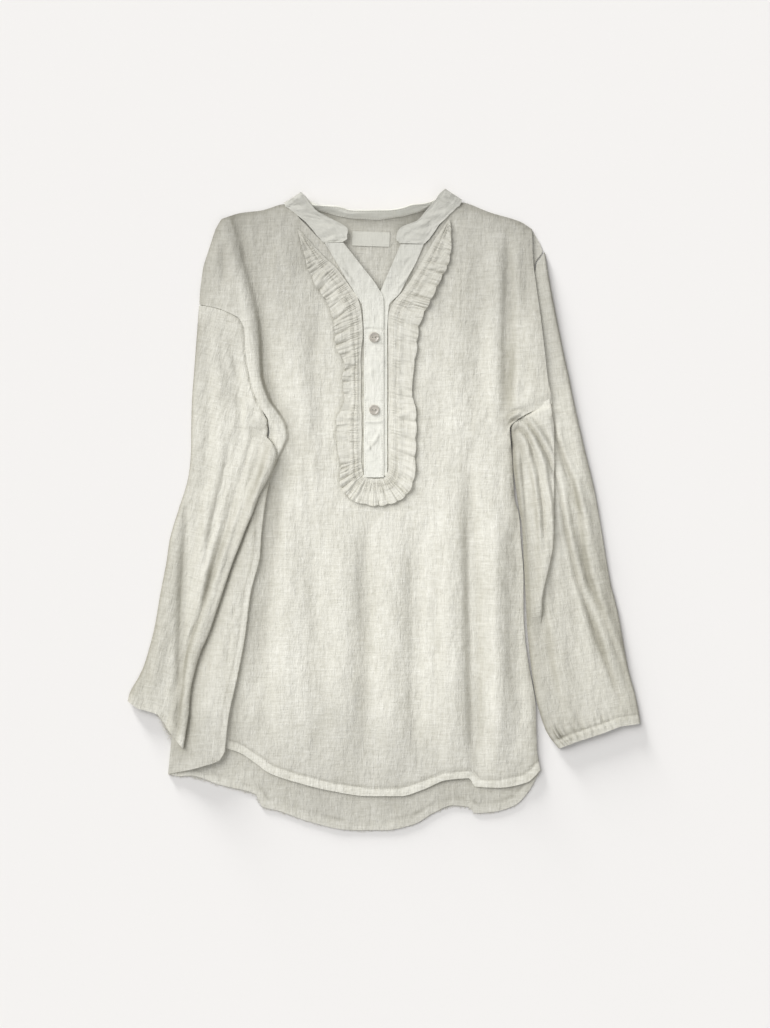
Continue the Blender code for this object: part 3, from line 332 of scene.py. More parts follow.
# Creases round the right armpit, over the front and the sleeve. Rows as for the front's
ARMPIT_CREASES = (
    (-2.2, 3.0, ((132, 104), (150, 117), (160, 119), (172, 113), (187, 94), (206, 60))),
    (2.2, 3.2, ((130, 98), (148, 111), (158, 114), (170, 108), (183, 90), (204, 50))),
    (-2.9, 2.6, ((128, 84), (147, 104), (156, 110), (166, 106), (178, 90), (192, 64), (210, 10))),
    (3.0, 3.0, ((128, 76), (149, 99), (157, 104), (165, 100), (175, 84), (187, 56), (195, 10), (198, -60))),
    (-2.9, 2.6, ((132, 70), (151, 94), (157, 98), (164, 93), (171, 78), (180, 48), (186, 0), (190, -60))),
    (2.8, 2.8, ((136, 66), (154, 88), (158, 91), (163, 85), (168, 70), (175, 40), (180, 0), (184, -60))),
    (-3.2, 2.4, ((140, 62), (155, 78), (158, 80), (160, 68), (162, 40), (166, 0), (170, -60))),
)

# Creases of the sleeves that their solids do without. Rows as for the front's
LEFT_SLEEVE_CREASES = (
    (-2.8, 2.6, ((-196, -40), (-214, -118), (-228, -148), (-236, -175), (-239, -210), (-246, -300))),
    (2.0, 3.5, ((-140, 110), (-156, 60), (-172, 0), (-190, -60), (-210, -130), (-226, -190))),
    (-1.8, 3.0, ((-146, 120), (-164, 60), (-181, 0), (-199, -60), (-218, -130))),
    (1.6, 3.5, ((-160, 120), (-174, 60), (-190, 0), (-206, -60), (-222, -120))),
    (-1.5, 3.0, ((-176, 100), (-188, 50), (-202, -10), (-214, -70))),
    (-2.6, 6, ((-231, 70), (-234, 17), (-233, -17), (-235, -59), (-238, -112), (-238, -155), (-239, -196),
        (-244, -240), (-248, -300))),
    (2.6, 6, ((-196, -10), (-206, -60), (-216, -110), (-224, -150), (-230, -190), (-235, -270))),
    (1.6, 7, ((-250, 0), (-256, -60), (-262, -120), (-268, -180), (-274, -240))),
    (1.8, 8, ((-202, 214), (-196, 160), (-190, 100), (-196, 40), (-208, -20), (-222, -90))),
    (-1.8, 6, ((-212, 170), (-208, 100), (-212, 30), (-222, -30), (-230, -90), (-236, -160))),
    (-1.6, 5, ((-176, 190), (-170, 140), (-168, 90), (-180, 30), (-194, -30))),
    (1.5, 5, ((-162, 130), (-160, 80), (-172, 20), (-188, -50), (-206, -110))),
    (1.6, 6, ((-240, -20), (-248, -80), (-258, -140), (-270, -200))),
    (-1.5, 5, ((-252, -40), (-262, -110), (-272, -170), (-284, -215))),
    (-0.9, 4, ((-214, 200), (-206, 160), (-204, 110), (-206, 60))),
    (0.8, 4, ((-190, 208), (-180, 170), (-168, 134), (-152, 108))),
    (-0.8, 3.5, ((-182, 190), (-172, 158), (-158, 126), (-146, 104))),
    (-0.9, 4, ((-150, 90), (-162, 60), (-172, 20), (-182, -20))),
    (0.8, 5, ((-160, 84), (-172, 50), (-184, 10), (-194, -40))),
    (-0.8, 4, ((-226, 60), (-222, 20), (-224, -20))),
    (-0.8, 4, ((-250, -60), (-254, -110), (-262, -160), (-272, -200))),
    (0.7, 4, ((-206, -90), (-214, -130), (-222, -180), (-228, -220))),
    (-0.7, 3.5, ((-268, -150), (-278, -185), (-286, -215))),
)
RIGHT_SLEEVE_CREASES = (
    (-3.2, 2.8, ((196, 120), (200, 87), (209, 60), (218, 37), (226, 10), (232, -10), (236, -50))),
    (2.4, 3.2, ((202, 120), (206, 88), (215, 62), (224, 39), (232, 12), (238, -10), (242, -50))),
    (-3.4, 2.6, ((203, 60), (207, 11), (213, -28), (226, -81), (241, -124), (265, -192), (277, -224),
        (290, -260))),
    (2.8, 3.2, ((210, 60), (213, 12), (219, -27), (232, -79), (247, -121), (270, -188), (282, -220),
        (294, -256))),
    (-3.2, 2.6, ((220, 60), (224, 13), (230, -33), (238, -75), (253, -116), (277, -177), (288, -210),
        (300, -250))),
    (2.6, 3.2, ((226, 62), (230, 16), (236, -30), (244, -72), (259, -112), (282, -172), (293, -205),
        (303, -240))),
    (-2.6, 3, ((226, 110), (238, 60), (248, 10), (256, -40), (266, -94), (276, -140), (292, -215))),
    (2.0, 4, ((190, -60), (192, -110), (200, -170), (212, -230))),
    (1.9, 5, ((166, 92), (178, 50), (186, 0), (190, -49), (184, -92), (176, -140))),
    (-1.6, 4.5, ((160, 78), (166, 40), (172, -10), (176, -60), (174, -110))),
    (1.4, 4, ((157, 60), (161, 20), (165, -20))),
    (-2.0, 6, ((207, 96), (214, 40), (222, -10), (232, -60), (240, -110), (252, -170), (262, -225))),
    (2.2, 7, ((222, 100), (232, 40), (243, -20), (252, -80), (262, -140), (272, -205))),
    (-1.8, 5, ((232, 60), (244, 0), (256, -60), (266, -120), (280, -190))),
    (1.6, 6, ((252, 10), (264, -60), (276, -130), (286, -190))),
    (1.6, 9, ((200, -90), (206, -140), (214, -190), (222, -235))),
    (-1.4, 7, ((184, -120), (190, -170), (198, -215), (206, -250))),
    (-0.9, 4, ((188, 60), (196, 20), (206, -20), (212, -60))),
    (0.8, 4, ((178, 90), (186, 50), (190, 0), (192, -50))),
    (-0.8, 4, ((172, 70), (174, 20), (178, -30), (180, -80))),
    (-0.9, 4, ((238, 40), (250, -10), (258, -60), (266, -110))),
    (0.8, 5, ((222, -60), (232, -110), (242, -160), (250, -215))),
    (-0.8, 4, ((190, -110), (194, -160), (202, -210), (214, -250))),
    (-0.7, 3.5, ((262, -150), (272, -190), (282, -225))),
    (0.7, 4, ((208, -190), (214, -225), (222, -256))),
)

# Small creases all over. Each: seed of their series, how many, and the area they lie in
FRONT_CRUMPLE = (11, 520, ((-230, -330), (195, 350)))
LEFT_CRUMPLE = (21, 230, ((-300, -270), (-120, 240)))
RIGHT_CRUMPLE = (31, 230, ((140, -275), (300, 300)))
RUFFLE_CRUMPLE = (71, 420, ((0, 0), (800, 28.0)))
COLLAR_CRUMPLES = ((41, 90), (42, 150))
STRIP_CRUMPLES = (50, 70)
SMALL_CREASE = {"turn": 0.5, "length": (10.0, 38.0), "width": (1.8, 4.5), "height": (0.12, 0.42)}

# Relief of the cloth, in millimetres
FRONT_ARMPIT = (1.6, 143.0, 7.0)  # the armpit's creases there: depth, x of their start, over
FOLD_SHALLOW = (0.5, (150.0, 12.0), (90.0, 20.0))  # less depth on the right fold: share, x, y
SOFT_FLOOR = 0.2  # rounding, squared, where cloth comes down to a floor
HEM_WIDTH = 9.5
HEM_GROOVE = (0.5, 1.1)  # depth and width of its stitched groove
HEM_FULL = (0.35, 0.45, 0.3)  # rise of its edge; place and width as shares of the hem's
HEM_PUCKERS = (0.9, 0.13, 0.37)  # pace of the puckers along it, in radians a millimetre
CASING = 11.0  # width of the right cuff's casing
CASING_GROOVE = (1.1, 1.6)
CASING_FULL = 0.7
CUFF_GATHERS = 13
GATHER_DEPTH = 1.1
GATHER_REACH = 16.0  # how far the gathers run on above the casing
SLEEVE_NOMINAL = 90.0  # width for which the rolled edges' points are spread
QUIET_START = 0.05  # share of the right sleeve's length over which its creases start
LEFT_INSIDE, RIGHT_INSIDE = 0.05, 0.3  # how far inside its edges a sleeve's floor counts
# Each sleeve beside its seam: its rise, where it starts, over what, and where it fades out
LEFT_FLUSH = (1.1, 0.8, 3.5, 16.0)
RIGHT_FLUSH = (2.2, 0.6, 3.0, 18.0)
# Each dropped seam of the front: its lower end, how far it is pressed on the sleeve, and over
SEAM_PRESS = ((LEFT_SEAM, SIDE_LEFT[0], 0.6, 6.0), (SEAM_RIGHT, SIDE_RIGHT[1], 2.6, 16.0))
STRIP_SINK = 0.25  # how far a crease of the placket's strips goes down
STRIP_CREASE = 1.3  # depth of the small creases of the strips and the collar
STRIP_FADE = 12.0  # way over which the lower strip's creases start, above the upper one
UNDER_CREASED = 246.0  # y above which the lower strip lies open
RUFFLE_START = -0.12  # share of the width that runs under the strips
RUFFLE_PACE = (0.16, 0.10)  # how much the pace of its waves varies, slowly and quickly
RUFFLE_PUCKERS = ((0.12, 0.10), (0.34, 0.09))  # place and width of each row, in shares
RUFFLE_SEAM = (0.5, 0.23, 0.04)  # depth of the seam between them, its place and width
COLLAR_RUN = 330.0
COLLAR_WIDTH = 26.0
COLLAR_UNEVEN = 0.35  # of its two edges
COLLAR_SEWN = (0.10, 0.90)  # shares of the collar's width with a row of stitches
COLLAR_GROOVE = (0.35, 0.05)  # depth of each row, and its width as a share

# Sewing: pitch and length of a stitch, and its thickness
STITCH = (3.0, 2.1, 0.42)
SEWING_LIFT = 0.12  # of a stitch over the cloth
FRAY_THICKNESS = 0.26  # half thickness of a loose thread
BUTTON_STITCH = (0.9, 1.3, 0.42)  # of the thread through a button's holes
BUTTON_STRANDS = (-0.35, 0.0, 0.35)  # places of its strands beside each other

# Painted shade: the cloth is greyer above one height and below another, in metres: from, and in full
SHADE_ABOVE = (0.12, 0.38)
SHADE_BELOW = (-0.20, -0.42)
SHADE = 0.64
FOLD_SHADE_TINT = (0.50, 0.49, 0.455)  # painted shade: the colour multiplied into cloth deep in a fold
SLOPE_SHADE = 1.6
HOLLOW_SHADE = 0.30

# Painted shade of places, from 0 to 1, and the distance over which it fades. BRIGHT is painted
# light, which keeps a place out of the painted greying by height
EDGE_SHADE = (0.42, 13.0)  # on a piece's outline
LAP_SHADE = (0.55, 11.0)  # of the front beside its lap
BACK_EDGE = 0.8  # of that on an outline, for the back
BACK_HEM_LINE = (0.4, 1.5)
BACK_HEM_BRIGHT = 0.25
FRONT_SEAM = (0.8, 5.0)  # share of the fold shade that a seam goes without
SLEEVE_SEAM = (0.85, 6.0)
SLEEVE_RIM = 5.0
SLEEVE_SHADOW = (0.7, 15.0)  # on the front beside the left sleeve
RUFFLE_SHADOW = (0.34, 3.2)  # on the front along the ruffle's outer edge
HEM_BRIGHT = 0.85
HEM_START = -186.0  # x from which the front's hem shows
HEM_LINE = (0.35, 0.8, 1.4)  # along its seam: shade, distance above it, width
FOLDED_STRIP = (8.0, 1.5, 0.34, 0.4)  # beside the lap: width, its line's, shade, bright
VALLEY_OUTSIDE = 0.16  # of the left sleeve beyond its valley
VALLEY_LINE = (0.30, 5.0)
ARMPIT_SHADOW = (0.5, 9.0)  # on the right sleeve beside the body
CUFF_BRIGHT = 0.5
COLLAR_SHADE = 0.30  # of the shade in its folds
COLLAR_BRIGHT = 0.08
STRIP_BRIGHT = (0.55, 0.10)  # painted light at the bottom of the placket, and at its top
RUFFLE_SHADE = (2.4, 0.75)  # of the shade in its folds, and the most of it
RUFFLE_EDGE = 0.25
RUFFLE_BRIGHT = (0.22, 0.75)  # all along, and more of it at the bottom
RUFFLE_PALE = 0.45  # share of its painted shade that is left out at the bottom
LABEL_BRIGHT = 0.6
# The long valley down the left sleeve. Each point: x, y
LEFT_VALLEY = ((-231, 60), (-234, 17), (-233, -17), (-235, -59), (-238, -112), (-238, -155),
        (-239, -196), (-244, -240), (-246, -285))
# Each sleeve: its seam with the front, its painted shade near the cuff, and the cuff's line
SLEEVE_SHADES = {"left": (LEFT_SEAM, 0.06, CUFF_LEFT), "right": (SEAM_RIGHT, 0.26, CUFF_RIGHT)}

# Noise of the linen, in features a metre across and along the cloth
THREADS = ((760.0, 90.0, 1.0), (85.0, 720.0, 1.0))
STREAKS = ((330.0, 36.0, 1.0), (42.0, 300.0, 1.0))
SLUBS = (((420.0, 46.0, 1.0), 0.56, 0.74), ((48.0, 380.0, 1.0), 0.58, 0.76))
PATCHES = (26.0, 14.0, 1.0)
RUMPLE = (75.0, 34.0, 1.0)
# Share of each in the tone of a thread
THREAD_TONE, STREAK_TONE, SLUB_TONE, PATCH_TONE = 0.8, 0.62, 0.22, 0.8

# Studio, in metres, and the photo's frame in its own pixels
FLOOR_Z = -0.0004
FLOOR_HALF = 20.0
# Each light: name, the place it shines from, its angle in the sky, share of the key's strength
LIGHTS = (("key_light", (-1.5, 1.3, 1.6), 46.0, 1.0),
        ("front_light", (0.6, -1.5, 2.6), 60.0, 0.22),
        ("low_light", (-0.65, 1.255, 0.162), 13.0, 3.47))
PIXEL = 1.175  # millimetres for one pixel of the photo
PHOTO_HEIGHT_PX = 1028
PHOTO_CENTRE = (0.59, -2.94)  # the frame's middle on the drawing, in millimetres


def ease(t):
    """Smooth step from 0 to 1."""
    t = np.clip(t, 0.0, 1.0)
    return t * t * (3.0 - 2.0 * t)


def unit(vectors):
    """The same directions with a length of 1."""
    return vectors / np.maximum(np.linalg.norm(vectors, axis=-1, keepdims=True), 1e-9)


def bell(distance, width):
    """1 at no distance, falling off on both sides over the given width."""
    return np.exp(-(distance / width) ** 2)


def rounding(distance, width):
    """Quarter-ellipse rise from 0 at an edge to 1 at the given width inside it."""
    t = np.clip(distance / width, 0.0, 1.0)
    return np.sqrt(1.0 - (1.0 - t) ** 2)


def steady(at, xs, ys):
    """Monotone cubic interpolation, so an outline never overshoots its points."""
    xs = np.asarray(xs, float)
    ys = np.asarray(ys, float)
    if xs[0] > xs[-1]:
        xs, ys = xs[::-1], ys[::-1]
    run = np.diff(xs)
    slope = np.diff(ys) / run
    tangent = np.zeros(len(xs))
    tangent[0], tangent[-1] = slope[0], slope[-1]
    same = slope[:-1] * slope[1:] > 0
    mean = 2.0 / (1.0 / np.where(same, slope[:-1], 1.0) + 1.0 / np.where(same, slope[1:], 1.0))
    tangent[1:-1] = np.where(same, mean, 0.0)
    at = np.clip(at, xs[0], xs[-1])
    i = np.clip(np.searchsorted(xs, at, side="right") - 1, 0, len(xs) - 2)
    t = (at - xs[i]) / run[i]
    a = (1 + 2 * t) * (1 - t) ** 2 * ys[i] + t * (1 - t) ** 2 * run[i] * tangent[i]
    b = t * t * (3 - 2 * t) * ys[i + 1] - t * t * (1 - t) * run[i] * tangent[i + 1]
    return a + b


def x_along(y, line):
    """The x of an outline that runs down the garment, at height y."""
    line = np.asarray(line, float)
    return steady(y, line[:, 1], line[:, 0])


def x_straight(y, line):
    """The x of an outline that runs down the garment in straight stretches."""
    line = np.asarray(line, float)[::-1]
    return np.interp(y, line[:, 1], line[:, 0])


def y_along(x, line):
    """The y of an outline that runs across the garment, at x."""
    line = np.asarray(line, float)
    return steady(x, line[:, 0], line[:, 1])


def way_along(line):
    """How far along a broken line each of its points lies, in two or three dimensions."""
    return np.concatenate([[0.0], np.cumsum(np.linalg.norm(np.diff(line, axis=0), axis=-1))])


def distance_to(x, y, line):
    """Distance of each point from a broken line, and how far along it the nearest place is."""
    line = np.asarray(line, float)
    best = np.full(np.shape(x), 1e9)
    along = np.zeros(np.shape(x))
    lengths = np.hypot(*np.diff(line, axis=0).T)
    total = lengths.sum()
    start = 0.0
    for (ax, ay), (bx, by), length in zip(line[:-1], line[1:], lengths):
        t = ((x - ax) * (bx - ax) + (y - ay) * (by - ay)) / length ** 2
        t = np.clip(t, 0.0, 1.0)
        d = np.hypot(x - ax - t * (bx - ax), y - ay - t * (by - ay))
        nearer = d < best
        best = np.where(nearer, d, best)
        along = np.where(nearer, (start + t * length) / total, along)
        start += length
    return best, along


def from_line(grid, line):
    """Distance of each point of a grid from a broken line."""
    return distance_to(grid[..., 0], grid[..., 1], line)[0]


def folds(x, y, table):
    """Sum of the soft troughs and ridges, each fading out towards both its ends."""
    z = np.zeros(np.shape(x))
    for height, half_width, line in table:
        d, along = distance_to(x, y, line)
        fade = ease(along / 0.25) * ease((1.0 - along) / 0.25)
        z += height * fade * bell(d, half_width)
    return z


def along_line(line, fractions):
    """Points at the given fractions of a broken line's length."""
    line = np.asarray(line, float)
    way = way_along(line)
    return points_at(np.asarray(fractions) * way[-1], way, line)


def points_at(at, way, line):
    """Points of a broken line at the given ways along it."""
    return np.stack([np.interp(at, way, column) for column in line.T], axis=-1)


def lap_offsets(turn, under):
    """Offsets across a rolled lap: a part of a roll, the part turned under, a roll back.

    Returns the steps to the right and down from where the roll starts, one column for each
    point, and the whole drop from the upper layer to the lower one.
    """
    turn = np.radians(turn)[..., None]
    under = np.asarray(under, float)[..., None] + 1e-9
    first = turn * np.linspace(0.0, 1.0, FRONT_COLUMNS["lap"] // 2)
    right = LAP_RADIUS * np.sin(first)
    down = LAP_RADIUS * (1.0 - np.cos(first))
    right_end = right[..., -1:] + under * np.cos(turn)
    down_end = down[..., -1:] + under * np.sin(turn)
    second = first[..., ::-1]
    right = np.concatenate(
        [right, right_end + LAP_RADIUS * (np.sin(turn) - np.sin(second))], axis=-1)
    down = np.concatenate(
        [down, down_end + LAP_RADIUS * (np.cos(second) - np.cos(turn))], axis=-1)
    spread = LAP_SPREAD * (1.0 - turn / math.pi) + 0.05
    return right + spread * np.linspace(0.0, 9.0, right.shape[-1]), down, down[..., -1]


def front_level(x, y):
    """Middle of the front's cloth over the body, away from the laps."""
    near = np.minimum(distance_to(x, y, SHOULDER_LEFT)[0], distance_to(x, y, SHOULDER_RIGHT)[0])
    near = np.minimum(near, distance_to(x, y, SIDE_RIGHT)[0])
    hem = ease((y - y_along(x, FRONT_HEM)) / HEM_REACH)
    rise = rounding(near, EDGE_ROUND) * (HEM_LOFT + (1.0 - HEM_LOFT) * hem)
    z = LOFT * rise + folds(x, y, FRONT_FOLDS) * rise
    return FRONT_LOW + np.maximum(z, 0.0) + right_rise(x, y)


def right_rise(x, y):
    """How much further the front rises where it lies over the right sleeve."""
    top, bottom = RIGHT_EDGE[-1], SIDE_RIGHT[0]
    armhole = np.interp(y, (bottom[1], top[1]), (bottom[0], top[0]))
    inside, width = RIGHT_RISE_X
    end, whole = RIGHT_RISE_END
    height = sum(high * ease((start - y) / (start - full)) for start, full, high in RIGHT_RISE)
    return height * ease((x - armhole + inside) / width) * ease((y - end) / (whole - end))


def lap_at(y):
    """The left lap at height y: where its roll starts, its rolled edge, turn and width under."""
    table = np.asarray(LAP_LEFT, float)
    edge, turn, under = [steady(y, table[:, 0], table[:, k]) for k in (1, 2, 3)]
    start = edge - LAP_RADIUS * np.sin(np.minimum(np.radians(turn), math.pi / 2))
    return start, edge, turn, under


def left_level(x, y):
    """Middle of the upper layer left of the lap, which the left sleeve continues."""
    outer = np.minimum(distance_to(x, y, LEFT_EDGE + LEFT_OUTLINE)[0],
                       distance_to(x, y, SHOULDER_LEFT)[0])
    _, edge, turn, under = lap_at(y)
    side = x_along(y, SIDE_LEFT)
    drop = lap_offsets(turn, under)[2]
    inside = ease((x - side) / (SIDE_SHARE * np.maximum(edge - side, TUCK)))
    below = ease((ARMPIT_Y - y) / FRONT_FALL)
    rise = rounding(outer, EDGE_ROUND) * (1.0 - below) + inside * below
    z = (LOFT + drop) * rise + folds(x, y, LEFT_LAYER_FOLDS) * rise
    return FRONT_LOW + np.maximum(z, 0.0)


def front_x(y):
    """The x of every column of the front, each at its own y."""
    groups = np.split(y, np.cumsum(tuple(FRONT_COLUMNS.values()))[:-1], axis=1)
    count = FRONT_COLUMNS["left"]
    side = x_along(groups[0], LEFT_EDGE + LEFT_SEAM[1:] + SIDE_LEFT)
    left = side + (lap_at(groups[0])[0] - side) * np.arange(count) / count
    start, _, turn, under = lap_at(groups[1])
    pick = np.arange(FRONT_COLUMNS["lap"])
    lap = start + lap_offsets(turn, under)[0][:, pick, pick]
    start, _, turn, under = lap_at(groups[2])
    lap_end = start + lap_offsets(turn, under)[0][..., -1]
    count = FRONT_COLUMNS["middle"]
    middle = lap_end + (x_along(groups[2], SLOT_LEFT) - lap_end) * np.arange(1, count + 1) / (
        count + 1)
    slit_left, slit_right = x_along(groups[3], SLOT_LEFT), x_along(groups[3], SLOT_RIGHT)
    count = FRONT_COLUMNS["slit"]
    slit = slit_left + (slit_right - slit_left) * np.arange(count) / count
    start = x_along(groups[4], SLOT_RIGHT)
    end = x_along(groups[4], FOLD_RIGHT + SEAM_RIGHT[1:] + SIDE_RIGHT[1:])
    right = start + (end - start) * np.linspace(0.0, 1.0, FRONT_COLUMNS["right"])
    return np.concatenate([left, lap, middle, slit, right], axis=1)


def front_grid():
    """Grid of the front, its columns in groups: left layer, lap, middle, slit, right."""
    t = np.linspace(0.0, 1.0, FRONT_STEPS)[:, None]
    total = sum(FRONT_COLUMNS.values())
    left_count, lap_count = FRONT_COLUMNS["left"], FRONT_COLUMNS["lap"]
    lap_last = left_count + lap_count - 1
    flap = np.concatenate([np.ones(left_count), np.linspace(1.0, 0.0, lap_count),
                           np.zeros(total - left_count - lap_count)])
    top_line = SHOULDER_LEFT + FRONT_NECK[1:-1] + SHOULDER_RIGHT
    # each x hangs on its y and the other way round, so both are found together, in small steps
    y = np.zeros((len(t), total))
    for _ in range(60):
        x = front_x(y)
        hem = y_along(x, FLAP_HEM) * flap + y_along(x, FRONT_HEM) * (1.0 - flap)
        y = (y + y_along(x, top_line) * (1.0 - t) + hem * t) / 2
    z = front_level(x, y)
    # the lap stands on the lower layer, and the left layer meets the lap's upper side
    _, _, turn, under = lap_at(y[:, left_count:lap_last + 1])
    _, down, drop = lap_offsets(turn, under)
    pick = np.arange(lap_count)
    z[:, left_count:lap_last + 1] = z[:, lap_last:lap_last + 1] + drop - down[:, pick, pick]
    level = left_level(x[:, :left_count + 1], y[:, :left_count + 1])
    step = z[:, left_count:left_count + 1] - level[:, -1:]
    z[:, :left_count] = level[:, :-1] + step * (np.arange(left_count) / left_count) ** 2
    keep = np.ones((len(t) - 1, total - 1), bool)
    slit = lap_last + 1 + FRONT_COLUMNS["middle"]
    above = (y[:-1, slit] + y[1:, slit]) / 2 > SLIT_BOTTOM
    keep[above, slit:slit + FRONT_COLUMNS["slit"]] = False
    return np.stack([x, y, z], axis=-1), keep


def roll_fractions(width, middle):
    """Fractions across a sleeve's section: close together on its rolled edges."""
    inner = np.linspace(SLEEVE_ROLL, width - SLEEVE_ROLL, middle + 2)[1:-1]
    return np.concatenate([ROLL_STEPS, inner, (width - ROLL_STEPS)[::-1]]) / width


def loop_height(s, width, low, high):
    """Upper and lower height of a flattened tube, both meeting halfway at its rolled edges."""
    full = rounding(np.minimum(s, width - s), SLEEVE_ROLL)
    middle = (low + high) / 2
    return middle + full * (high - low) / 2, middle - full * (high - low) / 2


def left_ground(x, y):
    """Level under the left sleeve: the surface, or over the front's side where it crosses it."""
    outside, width = CLIMB_X
    side = x_along(y, SIDE_LEFT)
    start, fall = SLEEVE_CLIMB
    over = ease((x - side + outside) / width) * ease((start - y) / fall)
    body = left_level(np.maximum(x + SLEEVE_EDGE, side), y) + LAYER + CROSS_GAP
    return BACK_LEVEL + over * (body - BACK_LEVEL)


def left_heights(points, fractions):
    """Upper and lower height of the left sleeve at the points of its sections."""
    x, y = points[..., 0], points[..., 1]
    width = np.linalg.norm(points[:, -1] - points[:, 0], axis=-1)[:, None]
    s = fractions * width
    low = left_ground(x, y)
    rise = rounding(np.minimum(s, width - s), EDGE_ROUND)
    high = low + SLEEVE_EDGE + rise * (SLEEVE_LOFT + folds(x, y, LEFT_LAYER_FOLDS))
    near = distance_to(x, y, LEFT_SEAM)[0]
    blend = ease(1.0 - near / UNDER_REACH) * ease((y - UNDER_END) / UNDER_FADE)
    high = high + (left_level(x, y) - LAYER - UNDER_GAP - high) * blend
    high = np.maximum(high, low + SLEEVE_LEAST)
    return loop_height(s, width, low, high)


def right_section(line, lap_share, right, down, drop, loft):
    """One section of the right sleeve, from its inner edge: its upper and lower points."""
    width = np.hypot(*np.diff(line, axis=0).T).sum()
    edge, last_edge = ROLL_STEPS, (width - ROLL_STEPS)[::-1]
    start = lap_share * width - LAP_RADIUS
    if start > SLEEVE_ROLL + TUCK:
        inner = np.linspace(SLEEVE_ROLL, start, RIGHT_INNER + 2)[1:-1]
    else:
        inner = SLEEVE_ROLL + np.linspace(0.4, 3.0, RIGHT_INNER)
    lap = max(start, inner[-1] + WALL) + right
    outer = np.linspace(lap[-1], width - SLEEVE_ROLL, RIGHT_OUTER + 2)[1:-1]
    s = np.concatenate([edge, inner, lap, outer, last_edge])
    low_s = np.concatenate([edge, np.linspace(SLEEVE_ROLL, width - SLEEVE_ROLL, RIGHT_OUTER + 2)[1:-1],
                            last_edge])
    upper, lower = along_line(line, s / width), along_line(line, low_s / width)
    rise = rounding(np.minimum(s, width - s), EDGE_ROUND)
    low = BACK_LEVEL
    high = low + SLEEVE_EDGE + loft * rise * SLEEVE_LOFT
    # the upper side steps down across the lap, and climbs to it from the inner edge
    first = len(edge) + len(inner)
    last = first + len(right) - 1
    step = high[last] + drop - high[first]
    high[first:last + 1] = high[last] + drop - down
    high[:first] += step * rounding(s[:first], s[first])
    top = loop_height(s, width, low, high)[0]
    bottom = loop_height(low_s, width, low, low + SLEEVE_EDGE)[1]
    top[0], top[-1] = bottom[0], bottom[-1]
    return (np.concatenate([upper, top[:, None]], axis=-1),
            np.concatenate([lower, bottom[:, None]], axis=-1))


def between_rows(points, steps):
    """Rows run smoothly between the rows of a grid: a cubic through each four rows."""
    count = len(points)
    at = np.linspace(0.0, count - 1.0, steps)
    i = np.clip(at.astype(int), 0, count - 2)
    t = (at - i).reshape((-1,) + (1,) * (points.ndim - 1))
    before, after = points[np.maximum(i - 1, 0)], points[np.minimum(i + 2, count - 1)]
    start, end = points[i], points[i + 1]
    slope_in, slope_out = (end - before) / 2, (after - start) / 2
    return ((2 * t ** 3 - 3 * t ** 2 + 1) * start + (t ** 3 - 2 * t ** 2 + t) * slope_in
            + (3 * t ** 2 - 2 * t ** 3) * end + (t ** 3 - t ** 2) * slope_out)


def crumple(x, y, seed, count, area):
    """Small creases all over: ridges and troughs of a bell profile along short straight lines.

    Their places, directions, lengths and heights come from one seeded series.
    """
    chance = np.random.default_rng(seed)
    (low_x, low_y), (high_x, high_y) = area
    z = np.zeros(np.shape(x))
    for _ in range(count):
        cx, cy = chance.uniform(low_x, high_x), chance.uniform(low_y, high_y)
        turn = chance.normal(0.0, SMALL_CREASE["turn"])
        length, width = chance.uniform(*SMALL_CREASE["length"]), chance.uniform(*SMALL_CREASE["width"])
        height = chance.uniform(*SMALL_CREASE["height"]) * chance.choice((-1.0, 1.0))
        along = (x - cx) * math.sin(turn) + (y - cy) * math.cos(turn)
        across = (x - cx) * math.cos(turn) - (y - cy) * math.sin(turn)
        z += height * np.exp(-(along / length) ** 2 - (across / width) ** 2)
    return z


def blurred(z, reach):
    """Mean of each value of a grid over its neighbours up to reach rows and columns away."""
    for axis in (0, 1):
        wide = np.pad(z, [(reach + 1, reach) if k == axis else (0, 0) for k in (0, 1)], "edge")
        total = np.cumsum(wide, axis=axis)
        count = z.shape[axis]
        z = (np.take(total, np.arange(count) + 2 * reach + 1, axis=axis)
             - np.take(total, np.arange(count), axis=axis)) / (2 * reach + 1)
    return z


def fold_shade(grid, reach=3):
    """How much painted shade each point gets, from 0 to 1: more on slopes and in hollows."""
    normal = unit(np.cross(np.gradient(grid, axis=0), np.gradient(grid, axis=1)))
    upright = np.abs(normal[..., 2])
    hollow = blurred(grid[..., 2], reach) - grid[..., 2]
    shade = SLOPE_SHADE * (1.0 - upright) + HOLLOW_SHADE * np.clip(hollow, 0.0, 2.0)
    return np.clip(blurred(shade, 1), 0.0, 1.0)


def beside(grid, line, width):
    """1 on a line, falling off away from it over the given width."""
    return bell(from_line(grid, line), width)


def edge_shade(grid, *lines):
    """Painted shade of a piece near its outlines: 1 on the line, fading away from it."""
    near = np.min([from_line(grid, line) for line in lines], axis=0)
    return EDGE_SHADE[0] * np.exp(-near / EDGE_SHADE[1])


def add_object(name, data):
    """Put a new object with its data into the scene."""
    item = bpy.data.objects.new(name, data)
    bpy.context.scene.collection.objects.link(item)
    return item


